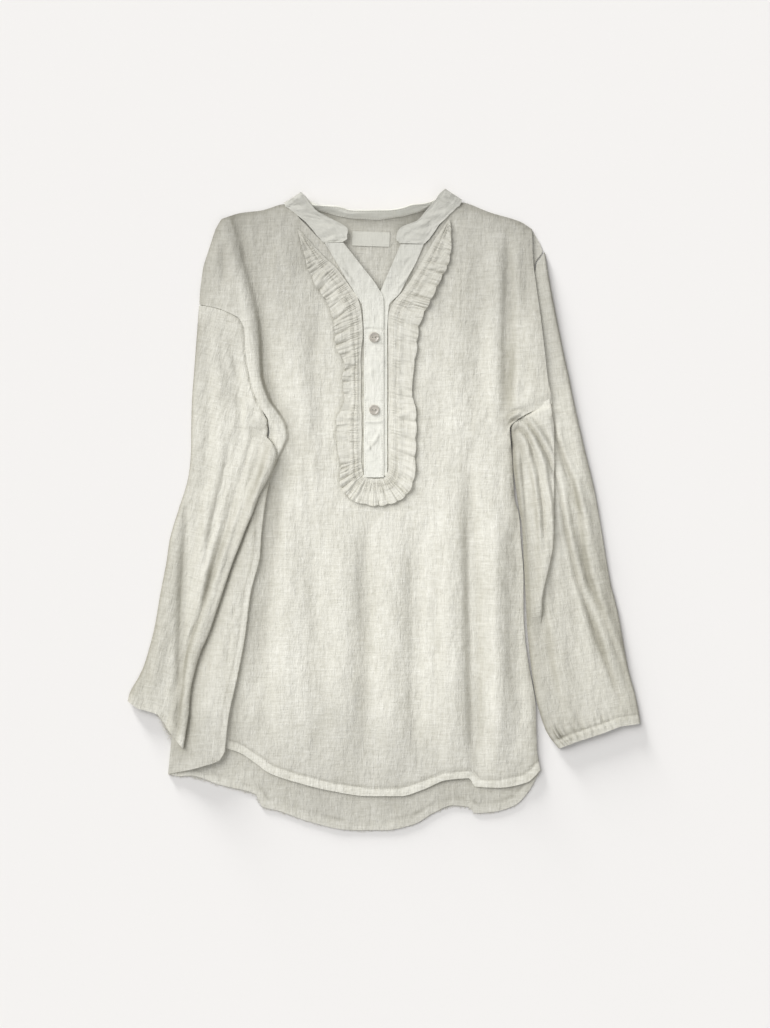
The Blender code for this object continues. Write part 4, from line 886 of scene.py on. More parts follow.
def mesh_piece(name, points, faces, uv, material, smooth=50.0, shade=None):
    """Link a mesh of points in metres, its unused points dropped, with a map called cloth.

    The map called shade holds the painted shade of each point, and the painted light that keeps it bright.
    """
    used, places = np.unique(np.concatenate([f.ravel() for f in faces]), return_inverse=True)
    points, uv = points[used], uv[used]
    sizes = [f.shape for f in faces]
    starts = np.cumsum([0] + [f.size for f in faces])
    faces = [places[a:b].reshape(s) for a, b, s in zip(starts[:-1], starts[1:], sizes)]
    mesh = bpy.data.meshes.new(name)
    mesh.vertices.add(len(points))
    mesh.vertices.foreach_set("co", points.astype(np.float32).ravel())
    corners = np.concatenate([f.ravel() for f in faces])
    totals = np.concatenate([np.full(len(f), f.shape[1]) for f in faces])
    mesh.loops.add(len(corners))
    mesh.loops.foreach_set("vertex_index", corners.astype(np.int32))
    mesh.polygons.add(len(totals))
    mesh.polygons.foreach_set("loop_start", np.concatenate([[0], np.cumsum(totals)[:-1]]))
    mesh.update(calc_edges=True)
    mesh.validate()
    layer = mesh.uv_layers.new(name="cloth")
    layer.data.foreach_set("uv", uv[corners].astype(np.float32).ravel())
    if shade is not None:
        layer = mesh.uv_layers.new(name="shade")
        layer.data.foreach_set("uv", shade[used][corners].astype(np.float32).ravel())
    mesh.shade_smooth()
    mesh.set_sharp_from_angle(angle=math.radians(smooth))
    mesh.materials.append(material)
    piece = add_object(name, mesh)
    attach(piece, "root")
    return piece


def cloth_shell(name, grid, uv, thickness, material, keep=None, closed=False, shade=None,
                bright=0.0):
    """Closed wall of cloth: the grid moved half the thickness both ways along its normal.

    Rows run down and columns across, so the first side faces outwards. Quads join each
    side's neighbours, and where a quad has no neighbour a rim quad joins the two sides.
    """
    ring = np.concatenate([grid[:, -1:], grid, grid[:, :1]], axis=1) if closed else grid
    across = np.gradient(ring, axis=1)
    across = across[:, 1:-1] if closed else across
    normal = unit(np.cross(np.gradient(grid, axis=0), across))
    rows, columns = grid.shape[:2]
    middle = grid - (CENTRE_X, CENTRE_Y, 0.0)
    sides = [middle + half * thickness * normal for half in (0.5, -0.5)]
    points = np.concatenate([s.reshape(-1, 3) for s in sides]) * MM
    index = np.arange(rows * columns).reshape(rows, columns)
    if closed:
        index = np.concatenate([index, index[:, :1]], axis=1)
    if keep is None:
        keep = np.ones((rows - 1, index.shape[1] - 1), bool)
    a, b, c, d = index[:-1, :-1], index[1:, :-1], index[1:, 1:], index[:-1, 1:]
    count = rows * columns
    outer = np.stack([a, b, c, d], axis=-1)[keep]
    faces = [outer, outer[:, ::-1] + count]
    wide = np.pad(keep, 1)
    if closed:
        wide[:, 0], wide[:, -1] = wide[:, -2], wide[:, 1]
    neighbours = (wide[1:-1, :-2], wide[2:, 1:-1], wide[1:-1, 2:], wide[:-2, 1:-1])
    for joined, first, second in zip(neighbours, (a, b, c, d), (b, c, d, a)):
        bare = keep & ~joined
        first, second = first[bare], second[bare]
        faces.append(np.stack([second, first, first + count, second + count], axis=-1))
    uv = np.concatenate([uv.reshape(-1, 2)] * 2) * MM
    # painted shade and painted light of each point for the map called shade; the inner side gets half the
    # painted shade
    shade = fold_shade(grid) if shade is None else np.clip(shade, 0.0, 1.0)
    bright = np.broadcast_to(bright, shade.shape)
    shade = np.concatenate([np.stack([side * shade, bright], axis=-1).reshape(-1, 2)
                            for side in (1.0, 0.5)])
    return mesh_piece(name, points, faces, uv, material, shade=shade)


def flat_map(grid, turn=0.0):
    """Cloth map of a laid piece: its own x and y, turned so that the threads run down it."""
    turn = math.radians(turn)
    x, y = grid[..., 0], grid[..., 1]
    return np.stack([x * math.cos(turn) + y * math.sin(turn),
                     y * math.cos(turn) - x * math.sin(turn)], axis=-1)


def run_map(grid):
    """Cloth map of a strip: the way along its middle, and the way across it."""
    across = np.linalg.norm(np.diff(grid, axis=1), axis=-1)
    v = way_along(grid.mean(axis=1))[:, None]
    u = np.concatenate([np.zeros((len(grid), 1)), np.cumsum(across, axis=1)], axis=1)
    return np.stack([u, np.broadcast_to(v, u.shape)], axis=-1)


def declare(node):
    """Let the piece stand for its CAD node, which is hidden."""
    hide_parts(node)


class NodeDesk:
    """Short ways to place shader nodes in one material and to link them."""

    def __init__(self, name):
        self.material = bpy.data.materials.new(name)
        self.material.use_nodes = True
        self.tree = self.material.node_tree
        self.shader = self.tree.nodes["Principled BSDF"]

    def add(self, kind, values=None, **settings):
        """Place a node, set its properties and its inputs; an output given is linked."""
        node = self.tree.nodes.new(kind)
        for key, value in settings.items():
            setattr(node, key, value)
        for key, value in (values or {}).items():
            self.set(node.inputs[key], value)
        return node

    def set(self, socket, value):
        """Link an output to the socket, or give it a value."""
        if isinstance(value, bpy.types.NodeSocket):
            self.tree.links.new(value, socket)
        else:
            socket.default_value = value

    def math(self, operation, a, b=0.5):
        """One operation on two numbers or outputs."""
        return self.add("ShaderNodeMath", {0: a, 1: b}, operation=operation).outputs[0]

    def noise(self, coordinate, scale, size=1.0, detail=3.0, rough=0.6):
        """Noise stretched by a scale of three numbers."""
        mapping = self.add("ShaderNodeMapping", {"Vector": coordinate, "Scale": scale})
        return self.add("ShaderNodeTexNoise", {
            "Vector": mapping.outputs[0], "Scale": size, "Detail": detail,
            "Roughness": rough}).outputs["Fac"]

    def spread(self, value, low, high):
        """Stretch the part of a value between low and high to 0 and 1."""
        return self.add("ShaderNodeMapRange", {
            "Value": value, "From Min": low, "From Max": high}).outputs[0]

    def mix(self, factor, a, b, how="MIX"):
        """Blend of two colours, each an output or three numbers."""
        a, b = [c if isinstance(c, bpy.types.NodeSocket) else (*c, 1.0) for c in (a, b)]
        return self.add("ShaderNodeMix", {0: factor, 6: a, 7: b}, data_type="RGBA",
                        blend_type=how).outputs[2]

    def place(self):
        """The place on the object, in metres."""
        return self.add("ShaderNodeTexCoord").outputs["Object"]

    def surface(self, values):
        """Link or set inputs of the shader itself, and return the material."""
        for key, value in values.items():
            self.set(self.shader.inputs[key], value)
        return self.material


def linen(name, light, dark, slub=1.0, crease=1.0):
    """Washed linen, in one map of its threads.

    Fine threads, uneven streaks and thick slubs are noise stretched along each of the two
    directions of the weave, patches are broad noise. Their sum picks the tone between the
    dark and the light thread; the threads also lift the surface, and a broader noise
    rumples it. Painted shade greys the cloth near the shoulders and at the hem, by the height
    of the place, but not where the map called shade holds painted light, and more painted
    shade darkens it where that map says that it lies deep in a fold.
    """
    desk = NodeDesk(name)
    cloth = desk.add("ShaderNodeUVMap", uv_map="cloth").outputs[0]
    fine = desk.math("ADD", *[desk.noise(cloth, scale) for scale in THREADS])
    streaks = desk.math("ADD", *[desk.noise(cloth, scale) for scale in STREAKS])
    slubs = desk.math("ADD", *[desk.spread(desk.noise(cloth, scale, detail=2.0), low, high)
                               for scale, low, high in SLUBS])
    patches = desk.noise(cloth, PATCHES, detail=6.0)
    tone = desk.math("MULTIPLY_ADD", desk.math("SUBTRACT", fine, 1.0), THREAD_TONE * slub)
    for part, share in ((desk.math("SUBTRACT", streaks, 1.0), STREAK_TONE * slub),
                        (slubs, SLUB_TONE * slub),
                        (desk.math("SUBTRACT", patches), PATCH_TONE)):
        tone = desk.math("ADD", tone, desk.math("MULTIPLY", part, share))
    colour = desk.mix(desk.spread(tone, 0.0, 1.1), dark, light)
    # painted shade by height, its border made uneven by noise
    place = desk.place()
    height_on = desk.add("ShaderNodeSeparateXYZ", {"Vector": place}).outputs["Y"]
    uneven = desk.math("MULTIPLY", desk.math("SUBTRACT", desk.noise(place, (9.0, 9.0, 9.0))), 0.22)
    height_on = desk.math("ADD", height_on, uneven)
    shade = desk.math("ADD", desk.spread(height_on, *SHADE_ABOVE),
                      desk.spread(height_on, *SHADE_BELOW))
    # the map called shade: painted shade in its first value, and in its second painted light that keeps off
    # the greying by height
    painted_map = desk.add("ShaderNodeUVMap", uv_map="shade").outputs[0]
    painted_map = desk.add("ShaderNodeSeparateXYZ", {"Vector": painted_map})
    shade = desk.math("MULTIPLY", shade, desk.math("SUBTRACT", 1.0, painted_map.outputs["Y"]))
    # painted shade: the grey that the greying by height multiplies in
    grey = tuple(c * SHADE for c in (1.0, 0.995, 0.99))
    shaded = desk.mix(shade, colour, grey, "MULTIPLY")
    shaded = desk.mix(painted_map.outputs["X"], shaded, FOLD_SHADE_TINT, "MULTIPLY")
    height = desk.math("ADD", desk.math("ADD", fine, streaks), desk.math("MULTIPLY", slubs, 0.8))
    weave = desk.add("ShaderNodeBump", {"Height": height, "Strength": 0.7, "Distance": 0.0004})
    rumple = desk.noise(cloth, RUMPLE, detail=5.0, rough=0.62)
    bump = desk.add("ShaderNodeBump", {"Height": rumple, "Strength": crease,
                                       "Distance": 0.0034, "Normal": weave.outputs[0]})
    return desk.surface({
        "Base Color": shaded, "Normal": bump.outputs[0],
        "Roughness": desk.math("MULTIPLY_ADD", fine, 0.2), "Specular IOR Level": 0.2,
        "Sheen Weight": 0.12, "Sheen Roughness": 0.5})


def thread_material(name, colour):
    """Sewing thread: one tone with the twist of its ply as fine stripes."""
    desk = NodeDesk(name)
    place = desk.place()
    twist = desk.noise(place, (1600.0, 1600.0, 1600.0), detail=1.0)
    dark = tuple(c * 0.8 for c in colour)
    return desk.surface({"Base Color": desk.mix(twist, dark, colour), "Roughness": 0.7})


def shell_material(name, colour):
    """Button of shell: slow bands of lighter and darker tone, and a thin clear gloss."""
    desk = NodeDesk(name)
    place = desk.place()
    bands = desk.noise(place, (120.0, 420.0, 200.0), detail=4.0)
    light = tuple(min(1.0, c * 1.5) for c in colour)
    return desk.surface({
        "Base Color": desk.mix(desk.spread(bands, 0.35, 0.7), colour, light),
        "Roughness": 0.28, "Coat Weight": 0.4, "Coat Roughness": 0.15})


def floor_material(name, colour):
    """Pale paper: a very faint grain."""
    desk = NodeDesk(name)
    place = desk.place()
    grain = desk.noise(place, (300.0, 300.0, 300.0))
    dark = tuple(c * 0.985 for c in colour)
    return desk.surface({
        "Base Color": desk.mix(grain, dark, colour), "Roughness": 0.95,
        "Specular IOR Level": 0.05})


def front_surface():
    """The front's grid with its creases and small crumples added to its height."""
    grid, keep = front_grid()
    x, y = grid[..., 0], grid[..., 1]
    depth = bpy.context.scene.blouse_cloth.crease
    relief = folds(x, y, FRONT_CREASES) + crumple(x, y, *FRONT_CRUMPLE)
    relief += hem_relief(x, y, FRONT_HEM[2:], HEM_WIDTH)
    depth_there, start, over = FRONT_ARMPIT
    relief += depth_there * folds(x, y, ARMPIT_CREASES) * ease((x - start) / over)
    # on the fold over the sleeve the creases keep to part of their depth
    share, (from_x, over_x), (from_y, over_y) = FOLD_SHALLOW
    shallow = 1.0 - share * ease((x - from_x) / over_x) * ease((y - from_y) / over_y)
    z = FRONT_LOW + softly(grid[..., 2] + depth * shallow * relief - FRONT_LOW)
    # the dropped seams lie close on the sleeves
    for seam, end, press, reach in SEAM_PRESS:
        z -= press * ease(1.0 - distance_to(x, y, seam)[0] / reach) * (y > end[1])
    grid[..., 2] = z
    return grid, keep


def softly(z):
    """Never below 0 and hardly changed well above it: half the sum of z and its rounded size."""
    return (z + np.sqrt(z * z + SOFT_FLOOR)) / 2


def hem_relief(x, y, line, width):
    """A turned hem: its stitched groove, its fuller edge, and small puckers between the two."""
    d, along = distance_to(x, y, line)
    way = along * way_along(line)[-1]
    inside = (along > 0.0) & (along < 1.0)
    groove = -HEM_GROOVE[0] * bell(d - width, HEM_GROOVE[1])
    rise, place, spread = HEM_FULL
    full = rise * bell(d - place * width, spread * width)
    quick, swing, slow = HEM_PUCKERS
    pucker = np.sin(quick * way + 2.0 * np.sin(swing * way)) + np.sin(slow * way)
    return inside * (groove + full * (1.0 + 0.5 * pucker))


def back_surface():
    """The back's grid: straight across between its sides, its lower side flat."""
    t = np.linspace(0.0, 1.0, BACK_STEPS[0])[:, None]
    u = np.linspace(0.0, 1.0, BACK_STEPS[1])[None, :]
    left_side = LEFT_EDGE + SIDE_LEFT
    right_side = RIGHT_EDGE[:-1] + ARMHOLE_RIGHT + SIDE_RIGHT[1:]
    top_line = SHOULDER_LEFT[:-1] + BACK_NECK + SHOULDER_RIGHT[1:]
    y = np.zeros((BACK_STEPS[0], BACK_STEPS[1]))
    for _ in range(40):
        left, right = x_straight(y, left_side), x_straight(y, right_side)
        x = left + (right - left) * u
        y = y_along(x, top_line) * (1.0 - t) + y_along(x, BACK_HEM) * t
    z = BACK_LEVEL + np.maximum(hem_relief(x, y, BACK_HEM, HEM_WIDTH), 0.0)
    return np.stack([x, y, z], axis=-1)


def seam_flush(beyond, rise, start, over, fade):
    """Rise of a sleeve beyond its seam, so that both lie level: a smooth step, then a bell."""
    return rise * ease((beyond - start) / over) * bell(np.maximum(beyond, 0.0), fade)


def kept_above(top, bottom, inside, start):
    """Heights that never come down on the lower wall, away from the rolled edges."""
    floor = bottom + SLEEVE_LEAST * 0.5 * inside
    return np.where(inside > start, floor + softly(top - floor), top)


def left_sleeve_surface():
    """The left sleeve: sections of a flattened tube, each row run smoothly between them."""
    fractions = roll_fractions(SLEEVE_NOMINAL, LEFT_MIDDLE)
    seam = along_line(LEFT_SEAM, fractions)
    tangent = unit(np.gradient(seam, axis=0))
    outward = np.stack([-tangent[:, 1], tangent[:, 0]], axis=-1)
    tucked = ease(fractions / TUCK_FADE) * ease((TUCK_END - fractions) / TUCK_FADE)
    tuck = -SEAM_OUT + (TUCK + SEAM_OUT) * tucked
    upper_rim = seam + outward * tuck[:, None]
    upper_rim[-1] = SLEEVE_ARMPIT
    start, end = upper_rim[0], upper_rim[-1]
    aside = ease(fractions / RIM_FADE) * ease((1.0 - fractions) / RIM_FADE)
    lower_rim = start + (end - start) * fractions[:, None] + aside[:, None] * LOWER_RIM_ASIDE
    sections = np.asarray(SLEEVE_LEFT, float)[:, None, :]
    sections = sections[..., :2] + (sections[..., 2:] - sections[..., :2]) * fractions[:, None]
    sections = np.concatenate([sections, along_line(CUFF_LEFT, fractions)[None]])
    walls = []
    for rim in (upper_rim, lower_rim):
        halfway = (rim + sections[0]) / 2
        rows = np.concatenate([rim[None], halfway[None], sections])
        walls.append(between_rows(rows, SLEEVE_STEPS))
    top = left_heights(walls[0], fractions)[0]
    bottom = left_heights(walls[1], fractions)[1]
    x, y = walls[0][..., 0], walls[0][..., 1]
    inside = np.sin(math.pi * fractions) ** 0.5
    depth = bpy.context.scene.blouse_cloth.crease
    relief = folds(x, y, LEFT_SLEEVE_CREASES) + crumple(x, y, *LEFT_CRUMPLE)
    top += depth * inside * relief
    beyond = np.where(y > ARMPIT_Y, x_along(y, LEFT_SEAM) - x, 0.0)
    top += seam_flush(beyond, *LEFT_FLUSH) * inside
    top = kept_above(top, bottom, inside, LEFT_INSIDE)
    top = np.concatenate([walls[0], top[..., None]], axis=-1)
    bottom = np.concatenate([walls[1], bottom[..., None]], axis=-1)
    return np.concatenate([top, bottom[:, -2:0:-1]], axis=1)


def right_sleeve_surface():
    """The right sleeve: each section steps down across the lap, rows run smoothly between."""
    table = np.asarray(SLEEVE_RIGHT, float)
    rim = np.asarray(ARMHOLE_RIGHT[::-1], float) + RIGHT_RIM_ASIDE
    lines = [rim] + [np.stack([row[2:4], row[0:2]]) for row in table]
    lines.append(np.asarray(CUFF_RIGHT, float)[::-1])
    lap_share, turn, under = np.concatenate([RIM_LAP, table[:, 4:], CUFF_LAP]).T
    right, down, drop = lap_offsets(turn, under)
    grid = []
    for k, line in enumerate(lines):
        loft = 0.0 if k == 0 else 1.0
        top, bottom = right_section(line, lap_share[k], right[k], down[k], drop[k], loft)
        grid.append(np.concatenate([top, bottom[-2:0:-1]], axis=0))
    grid = between_rows(np.array(grid), SLEEVE_STEPS)
    count = len(ROLL_STEPS) * 2 + RIGHT_INNER + right.shape[1] + RIGHT_OUTER
    x, y = grid[:, :count, 0], grid[:, :count, 1]
    inside = np.sin(math.pi * np.linspace(0.0, 1.0, count)) ** 0.5
    depth = bpy.context.scene.blouse_cloth.crease
    relief = folds(x, y, RIGHT_SLEEVE_FOLDS + RIGHT_SLEEVE_CREASES + ARMPIT_CREASES)
    relief += crumple(x, y, *RIGHT_CRUMPLE)
    fade = ease(np.linspace(0.0, 1.0, SLEEVE_STEPS) / QUIET_START)[:, None]
    beyond = np.where(x < SEAM_RIGHT[0][0], y_along(x, SEAM_RIGHT) - y, 0.0)
    relief += seam_flush(beyond, *RIGHT_FLUSH)
    grid[:, :count, 2] += depth * fade * inside * (relief + casing(x, y))
    grid[:, :count, 2] = kept_above(grid[:, :count, 2], BACK_LEVEL, inside, RIGHT_INSIDE)
    return grid


def casing(x, y):
    """The elastic casing of the right cuff: a groove, a full band and its gathers.

    The gathers are a sine across the cuff that runs on above the casing and fades out.
    """
    d = distance_to(x, y, CUFF_RIGHT)[0]
    share = (x - x[:, :1]) / (x[:, -1:] - x[:, :1])
    wave = np.sin(2.0 * math.pi * (CUFF_GATHERS * share + 0.25 * np.sin(9.0 * share)))
    band = bell(d - 0.5 * CASING, 0.45 * CASING)
    above = bell(d - CASING, GATHER_REACH) * (d > CASING) * (1.0 + 0.4 * np.sin(23.0 * share))
    depth, width = CASING_GROOVE
    return (-depth * bell(d - CASING, width) + CASING_FULL * band + GATHER_DEPTH * wave * band
            + GATHER_DEPTH * np.where(d > CASING, wave, 0.0) * above)


def ruffle_surface(w, across):
    """The ruffle at ways w along it and shares across it, as a grid.

    Its waves are a sine of the way along whose pace and height vary. They grow from the
    heading to the outer edge, and the heading itself has small puckers between its seams.
    """
    rows = smooth_rows(RUFFLE, w)[:, None, :]
    turn = 2.0 * math.pi * w[:, None]
    phase = (2.0 * math.pi) * (RUFFLE_WAVES * w[:, None] + RUFFLE_PACE[0] * np.sin(7 * turn)
                               + RUFFLE_PACE[1] * np.sin(13 * turn + 1.0))
    height = RUFFLE_RISE[0] + RUFFLE_RISE[1] * np.sin(5 * turn + 0.5)
    bulge = 2.0 * np.abs(np.sin(0.5 * phase + 0.8 * np.sin(9.0 * turn))) ** 0.7 - 1.0
    share = across * (1.0 + RUFFLE_SWING * bulge)
    points = rows[..., :2] + (rows[..., 2:] - rows[..., :2]) * share[..., None]
    x, y = points[..., 0], points[..., 1]
    base = front_level(x, y) + (WALL + RUFFLE_WALL) / 2 + 2 * GAP
    ends = (ease(w / RUFFLE_ENDS) * ease((1.0 - w) / RUFFLE_ENDS))[:, None]
    bend = 0.9 * across * np.sin(3.0 * turn + 1.0) + 0.5 * across * np.sin(11.0 * turn)
    wave = 2.0 * np.abs(np.sin(0.5 * (phase + bend) + 0.8 * np.sin(9.0 * turn))) ** 0.7 - 1.0
    second = 2.0 * np.abs(np.sin(phase + 1.5 * across + 2.0 * np.sin(17.0 * turn))) ** 0.8 - 1.0
    z = base + ends * height * (0.25 + 0.75 * ease((across - 0.2) / 0.8)) * (
        1.0 + 0.7 * wave + 0.3 * second)
    # the heading stands up in small puckers between the two rows of its seam
    heading = sum(bell(across - place, width) for place, width in RUFFLE_PUCKERS)
    pleats = np.abs(np.sin(2.5 * phase + 4.0 * across + 1.5 * np.sin(phase)))
    z += ends * heading * (0.3 + 1.0 * pleats)
    depth, place, width = RUFFLE_SEAM
    z -= depth * ends * bell(across - place, width)
    length, wide = RUFFLE_CRUMPLE[2][1]
    way = length * w[:, None] + 0.0 * across
    wrinkles = crumple(way, wide * across + 0.0 * way, *RUFFLE_CRUMPLE)
    z += ends * 1.5 * np.abs(wrinkles) * ease(across / 0.3)
    return np.stack([x, y, z], axis=-1)


def strip_surface(table, level, seed, creased):
    """A placket strip: straight across between its sides, smooth along, crumpled.

    Its creases are ridges more than troughs, so that it keeps off what lies under it. Where
    creased is a height, they start above it.
    """
    rows = np.asarray(table, float)
    y = np.linspace(rows[0, 0], rows[-1, 0], STRIP_STEPS[0])[:, None]
    left, right = steady(y, rows[:, 0], rows[:, 1]), steady(y, rows[:, 0], rows[:, 2])
    f = np.linspace(0.0, 1.0, STRIP_STEPS[1])[None, :]
    x = left + (right - left) * f
    y = np.broadcast_to(y, x.shape)
    area = ((x.min(), y.min()), (x.max(), y.max()))
    relief = crumple(x, y, seed, STRIP_CRUMPLES[0], area) + crumple(
        y, x, seed + 3, STRIP_CRUMPLES[1], (area[0][::-1], area[1][::-1])) + folds(
            x, y, PLACKET_CREASES)
    depth = 1.0 if creased is None else ease((y - creased) / STRIP_FADE)
    z = level + depth * (softly(STRIP_CREASE * relief + STRIP_SINK) - STRIP_SINK)
    return np.stack([x, y, z], axis=-1)


def collar_surface():
    """The stand collar: straight across from its seam to its free edge, smooth along."""
    rows = smooth_rows(COLLAR, np.linspace(0.0, 1.0, COLLAR_STEPS[0]))
    seam, edge = rows[:, None, :3], rows[:, None, 3:]
    share = np.linspace(0.0, 1.0, COLLAR_STEPS[1])[None, :]
    grid = seam + (edge - seam) * share[..., None]
    way = np.linspace(0.0, COLLAR_RUN, COLLAR_STEPS[0])[:, None] + 0.0 * share
    across = COLLAR_WIDTH * share + 0.0 * way
    out = unit(edge - seam)
    uneven = np.sin(way / 8.0) + np.sin(way / 3.7 + 1.0) + 0.6 * np.sin(way / 1.9 + 2.0)
    grid += out * (COLLAR_UNEVEN * uneven * (2.0 * share - 1.0) ** 3)[..., None]
    size = (COLLAR_WIDTH, COLLAR_RUN)
    small = crumple(across, way, *COLLAR_CRUMPLES[0], ((0, 0), size))
    small += crumple(way, across, *COLLAR_CRUMPLES[1], ((0, 0), size[::-1]))
    grid[..., 2] += STRIP_CREASE * small * (0.25 + 0.75 * np.sin(math.pi * share))
    for place in COLLAR_SEWN:
        grid[..., 2] -= COLLAR_GROOVE[0] * bell(share - place, COLLAR_GROOVE[1])
    return grid


def smooth_rows(table, shares):
    """Rows run smoothly between those of a table, at the given shares of the way down it."""
    table = np.asarray(table, float)
    last = len(table) - 1
    return np.stack([steady(shares * last, np.arange(last + 1.0), column) for column in table.T],
                    axis=-1)


def polyline_frames(line, pitch):
    """Even places along a line: their middles, and the unit directions along it."""
    line = np.asarray(line, float)
    way = way_along(line)
    at = np.arange(pitch / 2, way[-1], pitch)
    behind, middle, ahead = [points_at(at + shift, way, line) for shift in (-0.4, 0.0, 0.4)]
    return middle, unit(ahead - behind)


def ring_quads(index):
    """Faces round a tube, from the numbers of its points, one row for each ring."""
    after = np.roll(index, -1, axis=1)
    return np.stack([index[:-1], after[:-1], after[1:], index[1:]], axis=-1).reshape(-1, 4)


def tubes(paths, radius):
    """Points and faces of thin four-sided tubes along paths, an array of strands x points x 3."""
    along = unit(np.gradient(paths, axis=1))
    side = unit(np.cross((0.0, 0.0, 1.0), along))
    up = np.cross(along, side)
    angle = np.radians((0, 90, 180, 270))[:, None]
    ring = np.cos(angle) * side[..., None, :] + np.sin(angle) * up[..., None, :]
    points = paths[..., None, :] + np.asarray(radius)[..., None, None] * ring
    strands, steps = paths.shape[:2]
    index = np.arange(steps * 4).reshape(steps, 4)
    base = np.concatenate([ring_quads(index), index[:1, ::-1], index[-1:]])
    faces = base[None] + steps * 4 * np.arange(strands)[:, None, None]
    return points.reshape(-1, 3), faces.reshape(-1, 4)


def stitches(lines, pitch, length, width):
    """Small stitches at an even pitch along several lines, each rounded off at both ends."""
    middles, alongs = zip(*[polyline_frames(line, pitch) for line in lines])
    middle, along = np.concatenate(middles), np.concatenate(alongs)
    places = np.array((-0.5, -0.3, 0.0, 0.3, 0.5)) * length
    round_off = np.array((0.15, 0.85, 1.0, 0.85, 0.15)) * width / 2
    return tubes(middle[:, None] + places[:, None] * along[:, None], round_off)


def loose_threads(line, level, spacing, reach, seed):
    """Frayed threads along a raw edge: each leaves it at a chance angle and sinks down.

    Returns the points and faces of them all. The edge runs with its cloth on its left side.
    """
    chance = np.random.default_rng(seed)
    line = np.asarray(line, float)
    flat = np.concatenate([line, np.full((len(line), 1), level)], axis=1)
    middle, along = polyline_frames(flat, spacing)
    count = len(middle)
    out = np.stack([along[:, 1], -along[:, 0], np.zeros(count)], axis=-1)
    lean, length = chance.normal(0.0, 0.7, count), reach * chance.uniform(0.2, 1.0, count) ** 1.5
    curl, sink = chance.normal(0.0, 0.5, count), chance.uniform(0.1, 0.45, count)
    t = np.linspace(-0.6, 1.0, 6)[None, :]
    turn = lean[:, None] + curl[:, None] * t
    reach_out = length[:, None] * t * np.cos(turn)
    aside = length[:, None] * np.maximum(t, 0.0) * np.sin(turn)
    paths = (middle[:, None] + reach_out[..., None] * out[:, None]
             + aside[..., None] * along[:, None])
    paths[..., 2] += -sink[:, None] * np.maximum(t, 0.0) + 0.45 * np.minimum(t + 0.3, 0.0) ** 2
    return tubes(paths, FRAY_THICKNESS * (1.0 - 0.5 * np.maximum(t, 0.0)) * np.ones((count, 1)))


def sew(name, lines, material):
    """One piece of all stitches along the given lines."""
    pitch = bpy.context.scene.blouse_trim.stitch_pitch / MM
    points, faces = stitches(lines, pitch, pitch * STITCH[1] / STITCH[0], STITCH[2])
    return thread_piece(name, points, faces, material)


def thread_piece(name, points, faces, material):
    """A piece of threads whose points are in millimetres on the drawing."""
    points = (points - (CENTRE_X, CENTRE_Y, 0.0)) * MM
    piece = mesh_piece(name, points, [faces], points[:, :2], material, smooth=80.0)
    return piece


def line_on(level, line, step=4.0):
    """A line of x, y points raised onto a surface whose height is level(x, y)."""
    line = np.asarray(line, float)
    length = way_along(line)[-1]
    x, y = along_line(line, np.linspace(0.0, 1.0, max(2, int(length / step)))).T
    return np.stack([x, y, level(x, y)], axis=-1)


class ClothSettings(bpy.types.PropertyGroup):
    """Cloth of the blouse."""

    thickness: bpy.props.FloatProperty(
        name="Thickness", description="Wall of one layer of cloth", default=0.001, min=0.0008,
        max=0.0012, unit="LENGTH")
    crease: bpy.props.FloatProperty(
        name="Crease depth", description="Depth of creases against those of the photo's cloth",
        default=1.0, min=0.0, max=1.5, subtype="FACTOR")
    light: bpy.props.FloatVectorProperty(
        name="Light thread", description="Colour of the lightest threads", subtype="COLOR",
        default=(1.0, 0.985, 0.905), min=0.0, max=1.0)
    dark: bpy.props.FloatVectorProperty(
        name="Dark thread", description="Colour of the darkest threads", subtype="COLOR",
        default=(0.62, 0.60, 0.51), min=0.0, max=1.0)
    slub: bpy.props.FloatProperty(
        name="Slub", description="Contrast of thick and thin threads", default=1.0, min=0.0,
        max=2.0, subtype="FACTOR")


class TrimSettings(bpy.types.PropertyGroup):
    """Bands, ruffle, stitches and buttons."""

    band_light: bpy.props.FloatVectorProperty(
        name="Band light thread", description="Lightest threads of collar and placket",
        subtype="COLOR", default=(1.0, 0.99, 0.92), min=0.0, max=1.0)
    band_dark: bpy.props.FloatVectorProperty(
        name="Band dark thread", description="Darkest threads of collar and placket",
        subtype="COLOR", default=(0.79, 0.785, 0.70), min=0.0, max=1.0)
    stitch_pitch: bpy.props.FloatProperty(
        name="Stitch", description="From one stitch to the next", default=STITCH[0] * MM,
        min=0.002, max=0.006, unit="LENGTH")
    thread: bpy.props.FloatVectorProperty(
        name="Thread", description="Colour of the sewing thread", subtype="COLOR",
        default=(0.70, 0.68, 0.60), min=0.0, max=1.0)
    button: bpy.props.FloatVectorProperty(
        name="Button", description="Colour of the buttons", subtype="COLOR",
        default=(0.42, 0.39, 0.34), min=0.0, max=1.0)
    tape: bpy.props.FloatVectorProperty(
        name="Label", description="Colour of the blank label", subtype="COLOR",
        default=(0.80, 0.79, 0.71), min=0.0, max=1.0)


class StudioSettings(bpy.types.PropertyGroup):
    """Floor, light and camera."""

    floor: bpy.props.FloatVectorProperty(
        name="Floor", description="Colour of the pale floor", subtype="COLOR",
        default=(0.695, 0.682, 0.669), min=0.0, max=1.0)
    key: bpy.props.FloatProperty(
        name="Key light", description="Strength of the soft light from the upper left",
        default=2.4, min=0.0)
    fill: bpy.props.FloatProperty(
        name="Fill light", description="Strength of the light from all round", default=0.40,
        min=0.0)
    camera_height: bpy.props.FloatProperty(
        name="Camera height", description="Height of the camera over the floor", default=3.0,
        min=1.0, max=10.0, unit="LENGTH")


def cloth_material(name, crease=1.0):
    """The body's linen."""
    cloth = bpy.context.scene.blouse_cloth
    return linen(name, cloth.light, cloth.dark, cloth.slub, crease)


def band_material(name):
    """The doubled, pressed linen of collar and placket."""
    trim = bpy.context.scene.blouse_trim
    return linen(name, trim.band_light, trim.band_dark, 0.8, 0.8)


def thickness_mm():
    """Wall of cloth in millimetres."""
    return bpy.context.scene.blouse_cloth.thickness / MM


